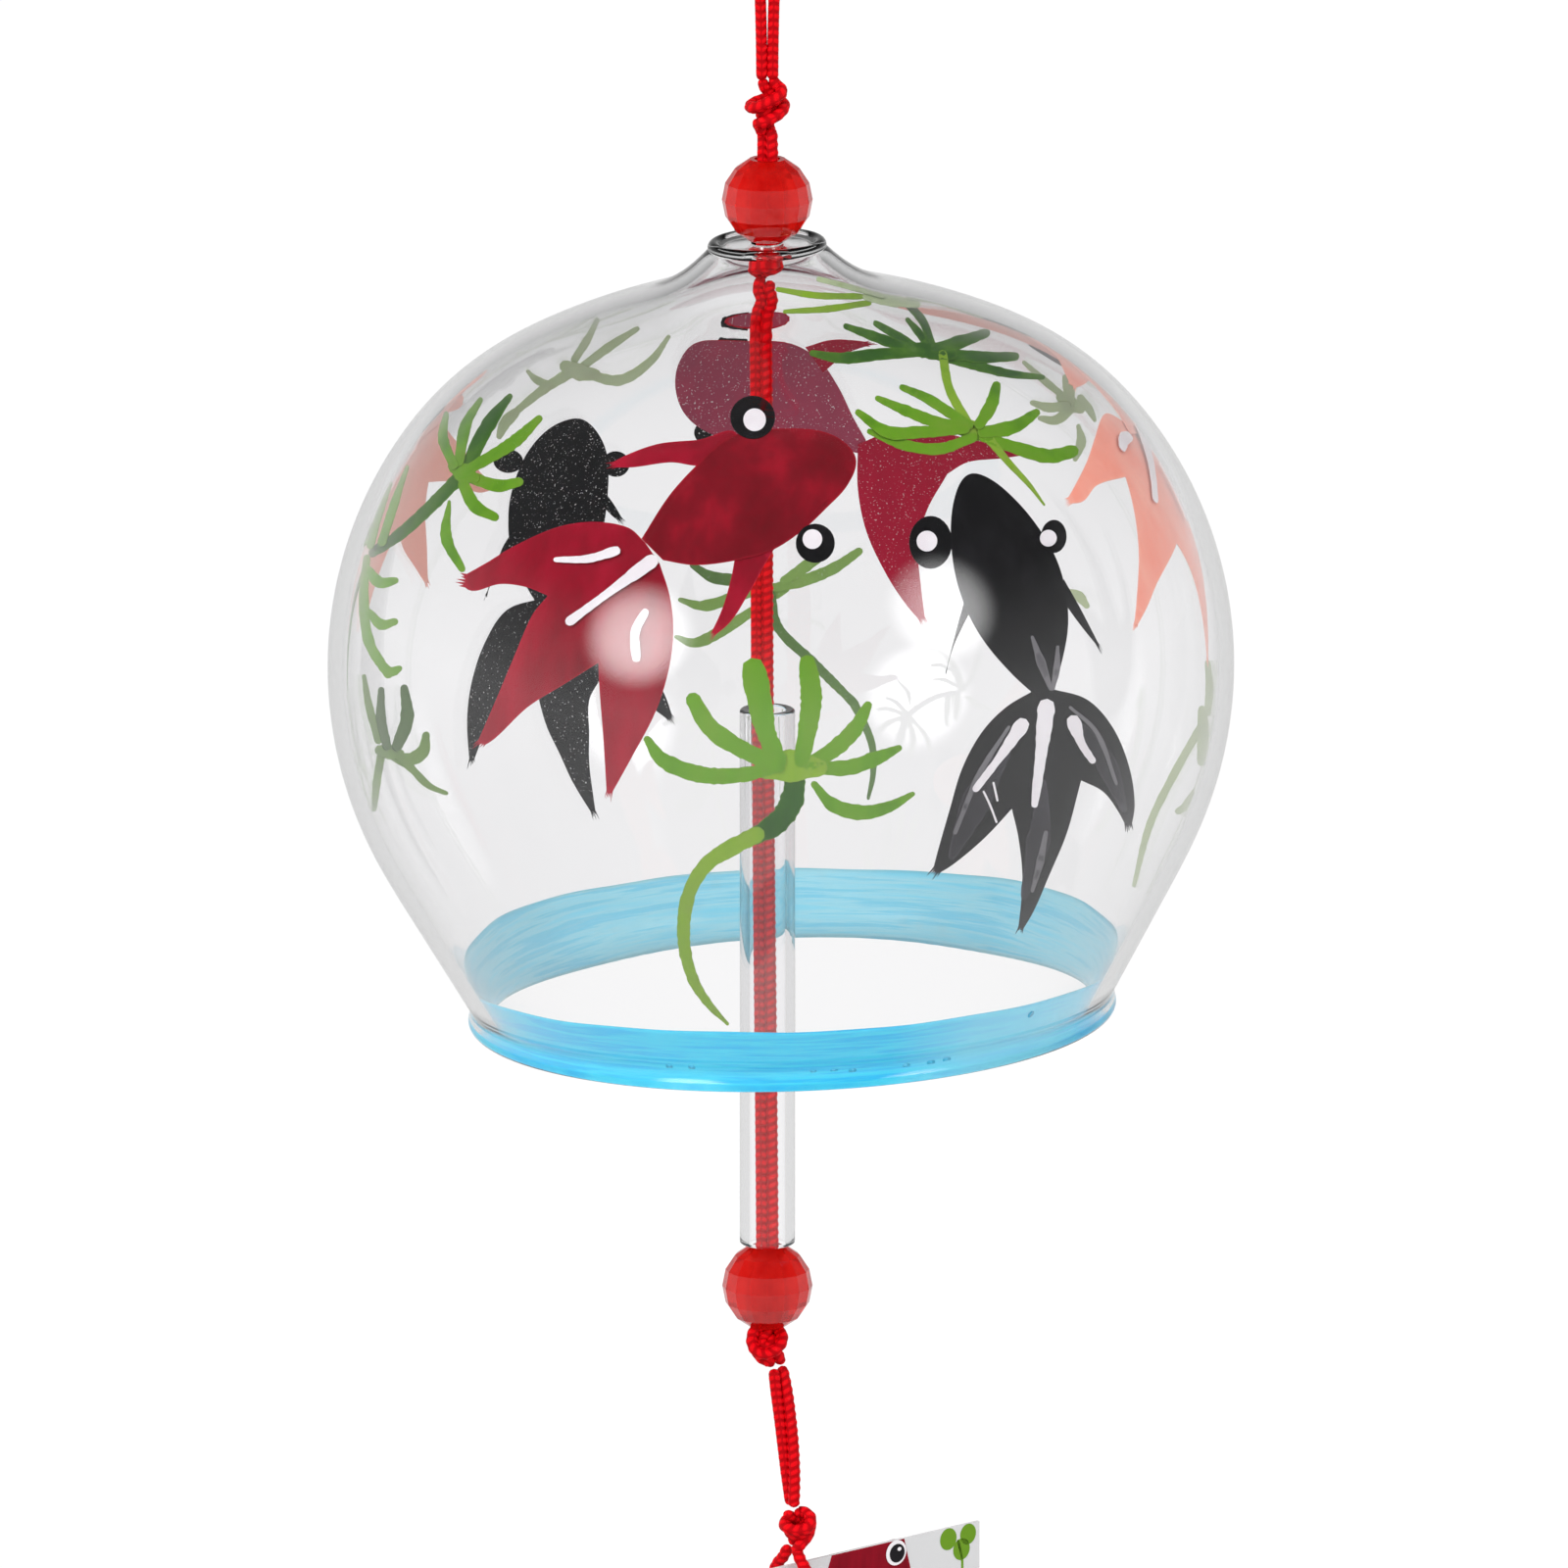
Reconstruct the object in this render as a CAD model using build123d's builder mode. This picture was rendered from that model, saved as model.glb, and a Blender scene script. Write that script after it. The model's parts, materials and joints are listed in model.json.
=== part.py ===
"""Glass wind bell on a doubled red cord, hung by its loop.

Lengths are in millimetres and angles in degrees. The frame is +Z up, with the origin at the
inside of the loop's crown, where the bell hangs. The front of the bell faces -Y.
"""

import os
from math import acos, atan2, cos, degrees, pi, radians, sin, sqrt, tan

from build123d import *

os.makedirs("parts", exist_ok=True)

# Cord: one thin braided cord, doubled, whose two strands run side by side
cord_diameter = 1.0
strand_gap = 0.1
flex_gap = 0.3
knot_seat = 0.15

# Hanging loop, from its crown to the top knot
loop_length = 50.0
loop_bare_run = 10.0

# Knots: overhand knots of the doubled cord, each a core with slanting wraps
wrap_thickness = 1.5
top_knot_width = 3.6
top_knot_height = 4.3
stopper_knot_width = 3.5
stopper_knot_height = 2.1
lower_knot_width = 3.4
lower_knot_height = 3.2
tie_knot_width = 3.6
tie_knot_height = 3.2
core_margin = 0.1

# Each wrap: its height above the knot's middle and its step sideways, as shares of the knot's
# height and width, and its slant in degrees
top_knot_wrap_shares = ((0.2, 0.06, 24), (0.0, -0.07, -20), (-0.19, 0.0, 16))
stopper_knot_wrap_shares = ((0.04, 0.05, 9), (-0.1, -0.06, -8))
lower_knot_wrap_shares = ((0.12, -0.05, -18), (-0.13, 0.07, 14))
tie_knot_wrap_shares = ((0.13, 0.24, 16), (-0.14, 0.02, -14))

# Faceted beads
bead_diameter = 8.0
bead_columns = 16
bead_rows = 6
bead_pole_latitude = 66.4
bead_bore_clearance = 0.1
bead_seat = 0.2
top_bead_drop = 2.6

# Glass bell: a blown bulb of tangent arcs, given by their radii and turns from the equator
bell_diameter = 80.1
equator_arc_radius = 35.4
equator_arc_turn = 38.5
shoulder_arc_radius = 26.3
shoulder_arc_turn = 26.2
crown_arc_radius = 68.0
lower_arc_radius = 36.0
lower_arc_turn = 29.4
glass_wall = 1.3
bell_lean = 1.84

# Neck, lip and throat on the crown of the bell
neck_radius = 4.9
neck_rise = 2.8
neck_flare = 10.0
neck_inner_corner = 0.8
lip_overhang = 0.35
lip_round = 0.6
dish_depth = 0.3
throat_floor = 1.0
throat_clearance = 0.35

# Mouth: a short flared skirt below the bulb, with a coat of colour inside
rim_depth = 31.8
rim_height = 1.7
rim_flare = 0.4
rim_notch_round = 1.0
rim_edge_round = 0.55
band_height = 5.7
band_coat = 0.15

# Clapper: a glass tube threaded on the doubled cord above the lower bead
clapper_bare_cord = 38.1
tube_length = 48.6
tube_wall = 0.85
tube_play = 0.55
tube_edge_round = 0.25

# Tail, its tie through the paper strip, and the strip
tail_length = 13.7
tail_top_offset = 0.9
tie_offset = 2.2
strip_turn = 42.5
strip_width = 45.0
strip_length = 140.0
strip_thickness = 0.35
strip_drop = 1.6
strip_hole_radius = 2.0
strip_hole_margin = 4.5
tie_loop_width = 4.6

# Share of the shorter run that an arc of a cord's route may use
arc_run_share = 0.45

# Sizes worked out from the driving dimensions
cord_radius = cord_diameter / 2
strand_spacing = cord_diameter + strand_gap
pair_radius = strand_spacing / 2 + cord_radius
knot_core_radius = pair_radius + core_margin
bead_radius = bead_diameter / 2
bead_height = 2 * bead_radius * sin(radians(bead_pole_latitude))
bead_bore_radius = pair_radius + bead_bore_clearance
bell_radius = bell_diameter / 2
throat_radius = pair_radius + throat_clearance
tube_bore_radius = pair_radius + tube_play
tube_radius = tube_bore_radius + tube_wall

# Heights down the cord, from the hang point at zero
top_knot_top = -loop_length
top_knot_bottom = top_knot_top - top_knot_height
neck_flex = top_knot_bottom - flex_gap - cord_radius
top_bead_top = top_knot_bottom - top_bead_drop
dish_floor = top_bead_top - bead_height - bead_seat
throat_underside = dish_floor - throat_floor
stopper_top = throat_underside - knot_seat
stopper_bottom = stopper_top - stopper_knot_height
clapper_flex = stopper_bottom - flex_gap - cord_radius
tube_top = clapper_flex - clapper_bare_cord
tube_bottom = tube_top - tube_length
lower_bead_top = tube_bottom - bead_seat
lower_bead_bottom = lower_bead_top - bead_height
lower_knot_top = lower_bead_bottom - knot_seat
lower_knot_bottom = lower_knot_top - lower_knot_height
tail_flex = lower_knot_bottom - flex_gap - cord_radius
tie_knot_top = lower_knot_bottom - tail_length
tie_flex = tie_knot_top + flex_gap + cord_radius
tie_knot_bottom = tie_knot_top - tie_knot_height
strip_top = tie_knot_bottom - strip_drop
strip_hole_height = strip_top - strip_hole_margin
tie_loop_bottom = strip_hole_height + strip_hole_radius - knot_seat - cord_radius

# Centre of the crown's arc, from the equator's centre, and the height of the crown over it
crown_arc_start = equator_arc_turn + shoulder_arc_turn
crown_centre_radius = (
    bell_radius
    - equator_arc_radius
    + (equator_arc_radius - shoulder_arc_radius) * cos(radians(equator_arc_turn))
    + (shoulder_arc_radius - crown_arc_radius) * cos(radians(crown_arc_start))
)
crown_centre_height = (
    (equator_arc_radius - shoulder_arc_radius) * sin(radians(equator_arc_turn))
    + (shoulder_arc_radius - crown_arc_radius) * sin(radians(crown_arc_start))
)
crown_height = crown_centre_height + sqrt(crown_arc_radius**2 - crown_centre_radius**2)
lip_height = crown_height + neck_rise
floor_height = lip_height - dish_depth
underside_height = floor_height - throat_floor

# Centre of the hollow arc by which the neck flares out, tangent to the crown's arc
flare_rise = floor_height - crown_centre_height
flare_run = neck_radius - crown_centre_radius
flare_reach = crown_arc_radius + neck_flare
flare_share = (flare_run**2 + flare_rise**2 + flare_reach**2 - neck_flare**2) / (
    2 * sqrt(flare_run**2 + flare_rise**2) * flare_reach
)
flare_turn = atan2(flare_rise, flare_run) - acos(flare_share)
flare_centre = Vector(
    crown_centre_radius + flare_reach * cos(flare_turn),
    crown_centre_height + flare_reach * sin(flare_turn),
)

# The bell leans on its stopper knot: its section plane turns about the throat
lean = radians(bell_lean)
bell_up = Vector(-sin(lean), 0, cos(lean))
bell_out = Vector(cos(lean), 0, sin(lean))
bell_centre = Vector(0, 0, throat_underside) - bell_up * underside_height
bell_section = Plane(origin=bell_centre, x_dir=bell_out, z_dir=bell_out.cross(bell_up))
bell_axis = Axis(bell_centre, bell_up)

# The strip's own directions: across its width, and out of its face
strip_across = Vector(cos(radians(strip_turn)), sin(radians(strip_turn)), 0)
strip_face = Vector(sin(radians(strip_turn)), -cos(radians(strip_turn)), 0)


def save(builder, label):
    """Label a finished piece and write it under its node's name."""
    builder.part.label = label
    export_step(builder.part, f"parts/{label}.step")


def route_radii(points):
    """Radius at each corner of a cord's route, as large as the two runs there allow."""
    corners = [Vector(*point) for point in points]
    radii = []
    for before, corner, after in zip(corners, corners[1:], corners[2:]):
        run_in = corner - before
        run_out = after - corner
        half_turn = radians(run_in.get_angle(run_out)) / 2
        radii.append(arc_run_share * min(run_in.length, run_out.length) / tan(half_turn))
    return radii


def bell_half(inset, top):
    """Half of the bell in section, up to a height of its neck, moved in from its outside."""
    flare_radius = neck_flare + inset
    flare_end = -acos((flare_centre.Y - top) / flare_radius) - pi / 2
    flare_middle = (flare_end + flare_turn - pi) / 2
    neck_side, flare_bow = (
        flare_centre + Vector(cos(turn), sin(turn)) * flare_radius
        for turn in (flare_end, flare_middle)
    )
    straight = (rim_depth - rim_height) - (lower_arc_radius - inset) * sin(radians(lower_arc_turn))
    slope = radians(lower_arc_turn)
    with BuildSketch() as half:
        with BuildLine():
            equator = JernArc(
                (bell_radius - inset, 0), (0, 1), equator_arc_radius - inset, equator_arc_turn
            )
            shoulder = JernArc(
                equator @ 1, equator % 1, shoulder_arc_radius - inset, shoulder_arc_turn
            )
            crown = JernArc(
                shoulder @ 1,
                shoulder % 1,
                crown_arc_radius - inset,
                degrees(flare_turn) - crown_arc_start,
            )
            ThreePointArc(crown @ 1, flare_bow, neck_side)
            lower = JernArc(
                (bell_radius - inset, 0), (0, -1), lower_arc_radius - inset, -lower_arc_turn
            )
            notch = lower @ 1 + Vector(-straight * tan(slope), -straight)
            rim = Vector(notch.X + rim_flare, -rim_depth)
            Polyline(lower @ 1, notch, rim, (0, -rim_depth), (0, top), neck_side)
        make_face()
        fillet(half.vertices().sort_by_distance(notch)[0], rim_notch_round + inset)
    return half.sketch


# Outside of the bell, with its flared neck and the round lip round the dish
with BuildSketch() as bell_outside:
    add(bell_half(0, floor_height))
    with Locations((neck_radius + lip_overhang - lip_round, lip_height - lip_round)):
        Circle(lip_round)

# Inside of the bell, up to the underside of the throat's floor
with BuildSketch() as bell_inside:
    add(bell_half(glass_wall, underside_height))
    inner_corner = bell_inside.vertices().sort_by_distance((neck_radius, underside_height))
    fillet(inner_corner[0], neck_inner_corner)

with BuildPart() as glass_bell:
    with BuildSketch(bell_section) as bell_glass:
        add(bell_outside.sketch)
        add(bell_inside.sketch, mode=Mode.SUBTRACT)
        with Locations((0, underside_height)):
            Rectangle(throat_radius, neck_rise, align=Align.MIN, mode=Mode.SUBTRACT)
        fillet(bell_glass.vertices().group_by(Axis.Y)[0], rim_edge_round)
    revolve(axis=bell_axis)
save(glass_bell, "glass_bell")

# The coat of colour lies on the inside of the mouth, above the rounded edge
with BuildPart() as rim_band:
    with BuildSketch(bell_section):
        add(bell_half(glass_wall, underside_height))
        add(bell_half(glass_wall + band_coat, underside_height), mode=Mode.SUBTRACT)
        with Locations((0, rim_edge_round - rim_depth)):
            Rectangle(
                bell_radius, band_height - rim_edge_round, align=Align.MIN, mode=Mode.INTERSECT
            )
    revolve(axis=bell_axis)
save(rim_band, "rim_band")

# Hanging loop: one strand up from the top knot, round the crown and down again
loop_foot = top_knot_top + knot_seat
loop_route = (
    (-strand_spacing / 2, 0, loop_foot),
    (-strand_spacing / 2, 0, loop_foot + loop_bare_run),
    (-2.3, 0.0, -26.5),
    (-4.2, 0.0, -13.5),
    (-4.4, 0.0, -4.1),
    (-2.6, 0.0, cord_radius),
    (2.6, 0.0, cord_radius),
    (4.3, 0.0, -4.2),
    (4.3, 0.0, -13.9),
    (2.1, 0.0, -27.0),
    (strand_spacing / 2, 0, loop_foot + loop_bare_run),
    (strand_spacing / 2, 0, loop_foot),
)
loop_radii = route_radii(loop_route)
with BuildPart() as hanging_loop:
    with BuildLine() as loop_path:
        FilletPolyline(*loop_route, radius=loop_radii)
    with BuildSketch(Plane(origin=loop_route[0], z_dir=(0, 0, 1))):
        Circle(cord_radius)
    sweep(path=loop_path.wires()[0])
save(hanging_loop, "hanging_loop")

# Tie loop: from the tie knot through the strip's hole and back
tie_middle = Vector(tie_offset, 0, 0)
tie_loop_side = tie_loop_width / 2
tie_loop_drop = tie_knot_bottom - tie_loop_bottom
tie_section = Plane(origin=tie_middle, x_dir=strip_face, z_dir=strip_face.cross(Vector(0, 0, 1)))
tie_leg_shares = ((0.37, 0.2), (1.0, 0.46), (1.0, 0.76), (0.48, 1.0))
tie_leg = [
    (side_share * tie_loop_side, tie_knot_bottom - drop_share * tie_loop_drop)
    for side_share, drop_share in tie_leg_shares
]
tie_route = (
    (-strand_spacing / 2, tie_knot_bottom - knot_seat),
    *((-across, up) for across, up in tie_leg),
    *reversed(tie_leg),
    (strand_spacing / 2, tie_knot_bottom - knot_seat),
)
tie_radii = route_radii([(across, up, 0) for across, up in tie_route])
with BuildPart() as tie_loop:
    with BuildLine(tie_section) as tie_path:
        FilletPolyline(*tie_route, radius=tie_radii)
    with BuildSketch(tie_path.wires()[0].location_at(0)):
        Circle(cord_radius)
    sweep(path=tie_path.wires()[0])
save(tie_loop, "tie_loop")

# Doubled cords that the weight pulls straight: start, end, the line that the two strands
# stand on, and which ends are rounded where the cord bends
tail_start = Vector(tail_top_offset, 0, tail_flex)
tail_end = Vector(tie_offset, 0, tie_flex)
straight_cords = {
    "neck_cord": (
        Vector(0, 0, neck_flex),
        Vector(0, 0, stopper_top + knot_seat),
        Vector(1, 0, 0),
        (True, False),
    ),
    "clapper_cord": (
        Vector(0, 0, clapper_flex),
        Vector(0, 0, lower_knot_top + knot_seat),
        Vector(1, 0, 0),
        (True, False),
    ),
    "tail_cord": (tail_start, tail_end, strip_across, (True, True)),
}
for label, (start, end, beside, rounded) in straight_cords.items():
    with BuildPart() as cord:
        cord_plane = Plane(origin=start, x_dir=beside, z_dir=end - start)
        with BuildSketch(cord_plane):
            with GridLocations(strand_spacing, 0, 2, 1):
                Circle(cord_radius)
        extrude(amount=(end - start).length)
        for centre, round_end in zip((start, end), rounded):
            if round_end:
                with Locations(Plane(origin=centre, x_dir=beside, z_dir=end - start)):
                    with GridLocations(strand_spacing, 0, 2, 1):
                        Sphere(cord_radius)
    save(cord, label)

# Knots
knots = {
    "top_knot": (0, top_knot_top, top_knot_height, top_knot_width, top_knot_wrap_shares),
    "stopper_knot": (
        0,
        stopper_top,
        stopper_knot_height,
        stopper_knot_width,
        stopper_knot_wrap_shares,
    ),
    "lower_knot": (0, lower_knot_top, lower_knot_height, lower_knot_width, lower_knot_wrap_shares),
    "tie_knot": (tie_offset, tie_knot_top, tie_knot_height, tie_knot_width, tie_knot_wrap_shares),
}
for label, (offset, top, height, width, wrap_shares) in knots.items():
    middle = top - height / 2
    wrap_radius = wrap_thickness / 2
    with BuildPart() as knot:
        with Locations((offset, 0, middle)):
            Cylinder(knot_core_radius, height)
        for rise_share, side_share, slant in wrap_shares:
            with Locations((offset + side_share * width, 0, middle + rise_share * height)):
                Torus(width / 2 - wrap_radius, wrap_radius, rotation=(0, slant, 0))
        with Locations((offset, 0, middle)):
            Box(2 * width, 2 * width, height, mode=Mode.INTERSECT)
    save(knot, label)

# Faceted beads on the doubled cord
beads = {
    "top_bead": top_bead_top - bead_height / 2,
    "lower_bead": lower_bead_top - bead_height / 2,
}
for label, centre in beads.items():
    with BuildPart() as bead:
        for row in range(bead_rows + 1):
            latitude = radians(bead_pole_latitude * (2 * row / bead_rows - 1))
            with BuildSketch(Plane.XY.offset(centre + bead_radius * sin(latitude))):
                RegularPolygon(bead_radius * cos(latitude), bead_columns)
        loft(ruled=True)
        with Locations((0, 0, centre)):
            Hole(bead_bore_radius, depth=bead_height)
    save(bead, label)

with BuildPart() as clapper_tube:
    with BuildSketch(Plane.XY.offset(tube_bottom)):
        Circle(tube_radius)
        Circle(tube_bore_radius, mode=Mode.SUBTRACT)
    extrude(amount=tube_length)
    fillet(clapper_tube.edges().filter_by(GeomType.CIRCLE), tube_edge_round)
save(clapper_tube, "clapper_tube")

# Paper strip, hung by its hole from the tie loop
with BuildPart() as paper_strip:
    strip_plane = Plane(origin=(tie_offset, 0, strip_top), x_dir=strip_across, z_dir=strip_face)
    with BuildSketch(strip_plane):
        Rectangle(strip_width, strip_length, align=(Align.CENTER, Align.MAX))
        with Locations((0, -strip_hole_margin)):
            Circle(strip_hole_radius, mode=Mode.SUBTRACT)
    extrude(amount=strip_thickness / 2, both=True)
save(paper_strip, "paper_strip")

# Radii and lengths of the swept cords, and the volume of each against its section
for label, builder, path, radii in (
    ("hanging_loop", hanging_loop, loop_path, loop_radii),
    ("tie_loop", tie_loop, tie_path, tie_radii),
):
    length = path.wires()[0].length
    swept = pi * cord_radius**2 * length
    print(label, "arc radii", [round(radius, 1) for radius in radii])
    print(label, "length", round(length, 2), "volume", round(builder.part.volume / swept, 4))

# Heights and places that the joints and the mount use
print("bell centre", bell_centre, "bell axis", bell_up)
print("neck flex", round(neck_flex, 3), "clapper flex", round(clapper_flex, 3))
print("tail flex", round(tail_flex, 3), "tie flex", round(tie_flex, 3))
print("throat", round(throat_underside, 3), "tube top", round(tube_top, 3))
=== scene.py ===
"""How the wind bell looks: painted glass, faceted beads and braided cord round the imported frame.

Lengths are in metres, written as millimetres times mm. Points of the photograph are in pixels of
its 1600 by 1600 frame, and a line of sight through such a point finds its place on the glass.
"""

import json
import random
from math import acos, atan2, cos, pi, radians, sin, sqrt, tan

import bpy
import numpy as np
from mathutils import Matrix, Vector
from mathutils.bvhtree import BVHTree
from mathutils.geometry import delaunay_2d_cdt
from mathutils.interpolate import poly_3d_calc
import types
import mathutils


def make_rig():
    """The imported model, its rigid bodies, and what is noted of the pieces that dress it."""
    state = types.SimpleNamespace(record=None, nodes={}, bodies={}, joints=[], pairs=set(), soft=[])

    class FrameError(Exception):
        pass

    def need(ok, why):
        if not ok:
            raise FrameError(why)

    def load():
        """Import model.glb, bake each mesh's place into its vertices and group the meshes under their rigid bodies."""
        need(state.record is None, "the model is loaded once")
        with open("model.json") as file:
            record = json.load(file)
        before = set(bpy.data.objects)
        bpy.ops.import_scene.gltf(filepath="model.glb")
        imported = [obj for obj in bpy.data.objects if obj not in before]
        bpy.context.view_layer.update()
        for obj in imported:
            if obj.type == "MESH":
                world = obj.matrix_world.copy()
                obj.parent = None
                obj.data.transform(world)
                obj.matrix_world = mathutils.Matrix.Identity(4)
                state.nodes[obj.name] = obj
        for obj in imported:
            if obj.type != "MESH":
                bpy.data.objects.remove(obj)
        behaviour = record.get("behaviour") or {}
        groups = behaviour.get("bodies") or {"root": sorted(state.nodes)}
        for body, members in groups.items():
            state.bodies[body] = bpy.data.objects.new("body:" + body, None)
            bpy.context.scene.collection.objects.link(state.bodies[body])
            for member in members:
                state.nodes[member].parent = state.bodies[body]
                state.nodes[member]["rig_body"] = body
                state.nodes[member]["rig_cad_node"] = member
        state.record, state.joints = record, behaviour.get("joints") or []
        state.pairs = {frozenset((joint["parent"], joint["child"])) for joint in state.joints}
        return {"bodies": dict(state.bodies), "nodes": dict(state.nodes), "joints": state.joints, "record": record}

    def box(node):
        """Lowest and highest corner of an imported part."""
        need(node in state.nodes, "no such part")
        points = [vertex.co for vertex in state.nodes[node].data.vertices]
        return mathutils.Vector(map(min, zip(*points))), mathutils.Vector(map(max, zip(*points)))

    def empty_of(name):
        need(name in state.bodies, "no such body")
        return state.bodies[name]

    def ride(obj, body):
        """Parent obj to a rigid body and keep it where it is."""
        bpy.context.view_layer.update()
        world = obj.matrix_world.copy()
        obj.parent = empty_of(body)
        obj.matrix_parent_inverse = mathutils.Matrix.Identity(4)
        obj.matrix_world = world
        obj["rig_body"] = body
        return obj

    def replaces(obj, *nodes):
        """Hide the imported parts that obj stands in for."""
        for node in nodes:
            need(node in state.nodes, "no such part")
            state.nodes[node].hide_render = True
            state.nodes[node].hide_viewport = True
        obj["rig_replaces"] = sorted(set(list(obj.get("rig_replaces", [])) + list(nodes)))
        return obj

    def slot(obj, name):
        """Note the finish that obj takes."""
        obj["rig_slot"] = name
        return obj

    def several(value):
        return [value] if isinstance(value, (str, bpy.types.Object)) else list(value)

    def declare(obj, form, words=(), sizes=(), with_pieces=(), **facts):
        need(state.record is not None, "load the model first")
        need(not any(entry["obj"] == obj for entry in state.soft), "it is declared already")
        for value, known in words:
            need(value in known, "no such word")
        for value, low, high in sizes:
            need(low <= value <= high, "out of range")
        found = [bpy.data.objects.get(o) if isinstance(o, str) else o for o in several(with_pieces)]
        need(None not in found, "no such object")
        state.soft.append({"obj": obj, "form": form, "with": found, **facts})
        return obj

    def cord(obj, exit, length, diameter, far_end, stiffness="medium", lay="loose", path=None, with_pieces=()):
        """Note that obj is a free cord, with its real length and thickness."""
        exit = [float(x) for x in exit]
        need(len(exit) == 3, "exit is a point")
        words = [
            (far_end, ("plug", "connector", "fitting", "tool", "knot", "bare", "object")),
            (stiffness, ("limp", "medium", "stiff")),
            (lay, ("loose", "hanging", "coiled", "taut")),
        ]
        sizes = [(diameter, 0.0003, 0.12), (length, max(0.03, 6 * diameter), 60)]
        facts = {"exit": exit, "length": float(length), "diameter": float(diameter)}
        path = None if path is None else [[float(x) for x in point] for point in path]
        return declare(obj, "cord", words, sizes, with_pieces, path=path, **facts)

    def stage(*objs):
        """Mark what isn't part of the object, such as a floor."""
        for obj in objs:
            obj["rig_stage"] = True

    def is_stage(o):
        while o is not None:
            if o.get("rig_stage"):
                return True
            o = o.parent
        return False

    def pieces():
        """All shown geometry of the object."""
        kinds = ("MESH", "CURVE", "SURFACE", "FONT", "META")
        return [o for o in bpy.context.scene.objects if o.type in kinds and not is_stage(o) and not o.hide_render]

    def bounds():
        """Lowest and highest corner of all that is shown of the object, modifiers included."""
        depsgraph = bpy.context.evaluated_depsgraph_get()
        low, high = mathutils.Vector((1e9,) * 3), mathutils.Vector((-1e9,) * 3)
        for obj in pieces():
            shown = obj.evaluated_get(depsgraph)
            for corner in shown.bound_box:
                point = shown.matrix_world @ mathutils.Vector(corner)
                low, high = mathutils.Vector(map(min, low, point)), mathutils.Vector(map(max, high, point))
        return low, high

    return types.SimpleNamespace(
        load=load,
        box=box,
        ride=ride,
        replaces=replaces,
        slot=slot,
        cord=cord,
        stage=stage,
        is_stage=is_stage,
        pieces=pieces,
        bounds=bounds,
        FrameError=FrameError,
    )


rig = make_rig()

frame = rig.load()
cad_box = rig.bounds()
mm = 0.001
nodes = frame["nodes"]

# Camera, as the photograph was taken: a long lens, from a little above
photo_width = 1600
pixels_per_mm = 11.56
photo_target = Vector((1.47, 0, -113.4)) * mm
camera_elevation = radians(13.4)
camera_distance = 3.0
view_width = photo_width / pixels_per_mm * mm
sight_back = Vector((0, -cos(camera_elevation), sin(camera_elevation)))
sight_turn = (-sight_back).to_track_quat("-Z", "Y")

camera_data = bpy.data.cameras.new("camera")
camera_data.sensor_fit = "HORIZONTAL"
camera_data.lens = camera_data.sensor_width * camera_distance / view_width
camera = bpy.data.objects.new("camera", camera_data)
camera.location = photo_target + sight_back * camera_distance
camera.rotation_euler = sight_turn.to_euler()
bpy.context.scene.collection.objects.link(camera)
bpy.context.scene.camera = camera

# Heights down the cord, and the bell's axis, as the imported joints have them
joint_places = {joint["name"]: Vector(joint.get("pos_m", (0, 0, 0))) for joint in frame["joints"]}
joint_axes = {joint["name"]: Vector(joint["axis"]).normalized() for joint in frame["joints"]}
tail_flex = joint_places["tail_swing"]
tie_flex = joint_places["strip_flap"]
bell_up = joint_axes["clapper_turn"]
strip_across = joint_axes["strip_flap"]
strip_face = strip_across.cross(Vector((0, 0, 1)))

# Cord: two strands of thin braid side by side
strand_radius = 0.5 * mm
strand_spacing = 0.97 * mm
braid_pitch = 0.74 * mm
braid_step = 0.1 * mm
braid_sides = 24
braid_columns = 4
braid_relief = 0.1
braid_slant = 2.6
braid_dome = 0.7
braid_ground, braid_weave = 0.3, 0.7
end_roundness = 0.02
strand_phase = 0.5


def node(tree, kind, inputs=None, **settings):
    """A shader node with its settings and inputs: a value, or another node's output."""
    made = tree.nodes.new("ShaderNode" + kind)
    for name, value in settings.items():
        setattr(made, name, value)
    for name, value in (inputs or {}).items():
        if isinstance(value, bpy.types.NodeSocket):
            tree.links.new(value, made.inputs[name])
        else:
            made.inputs[name].default_value = value
    return made


def new_material(name):
    """An empty node material and its tree."""
    material = bpy.data.materials.new(name)
    material.use_nodes = True
    material.node_tree.nodes.clear()
    return material, material.node_tree


def show(tree, surface, **more):
    """The material's output, with its surface and any other part of it."""
    node(tree, "OutputMaterial", {"Surface": surface, **more})


def ramp(tree, factor, *stops):
    """A colour ramp's output: stops are places and colours."""
    made = node(tree, "ValToRGB", {"Fac": factor})
    elements = made.color_ramp.elements
    for extra in stops[2:]:
        elements.new(extra[0])
    for element, (place, colour) in zip(elements, stops):
        element.position = place
        element.color = opaque(colour)
    return made.outputs["Color"]


def grey(value):
    """A grey colour."""
    return (value, value, value)


def opaque(colour):
    """A colour with its alpha, or another node's output as it is."""
    return colour if isinstance(colour, bpy.types.NodeSocket) else (*colour, 1)


def mix_colour(tree, factor, first, second):
    """A mix of two colours, each a value or another node's output."""
    inputs = {0: factor, 6: opaque(first), 7: opaque(second)}
    return node(tree, "Mix", inputs, data_type="RGBA").outputs[2]


def mix_shader(tree, share, first, second):
    """A mix of two shaders' outputs."""
    return node(tree, "MixShader", {0: share, 1: first, 2: second}).outputs[0]


def clear_shader(tree, colour):
    """A shader that lets light straight through and colours it."""
    return node(tree, "BsdfTransparent", {"Color": opaque(colour)}).outputs[0]


def maths(tree, operation, *values):
    """What an operation makes of values or other nodes' outputs."""
    return node(tree, "Math", dict(enumerate(values)), operation=operation).outputs[0]


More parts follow.
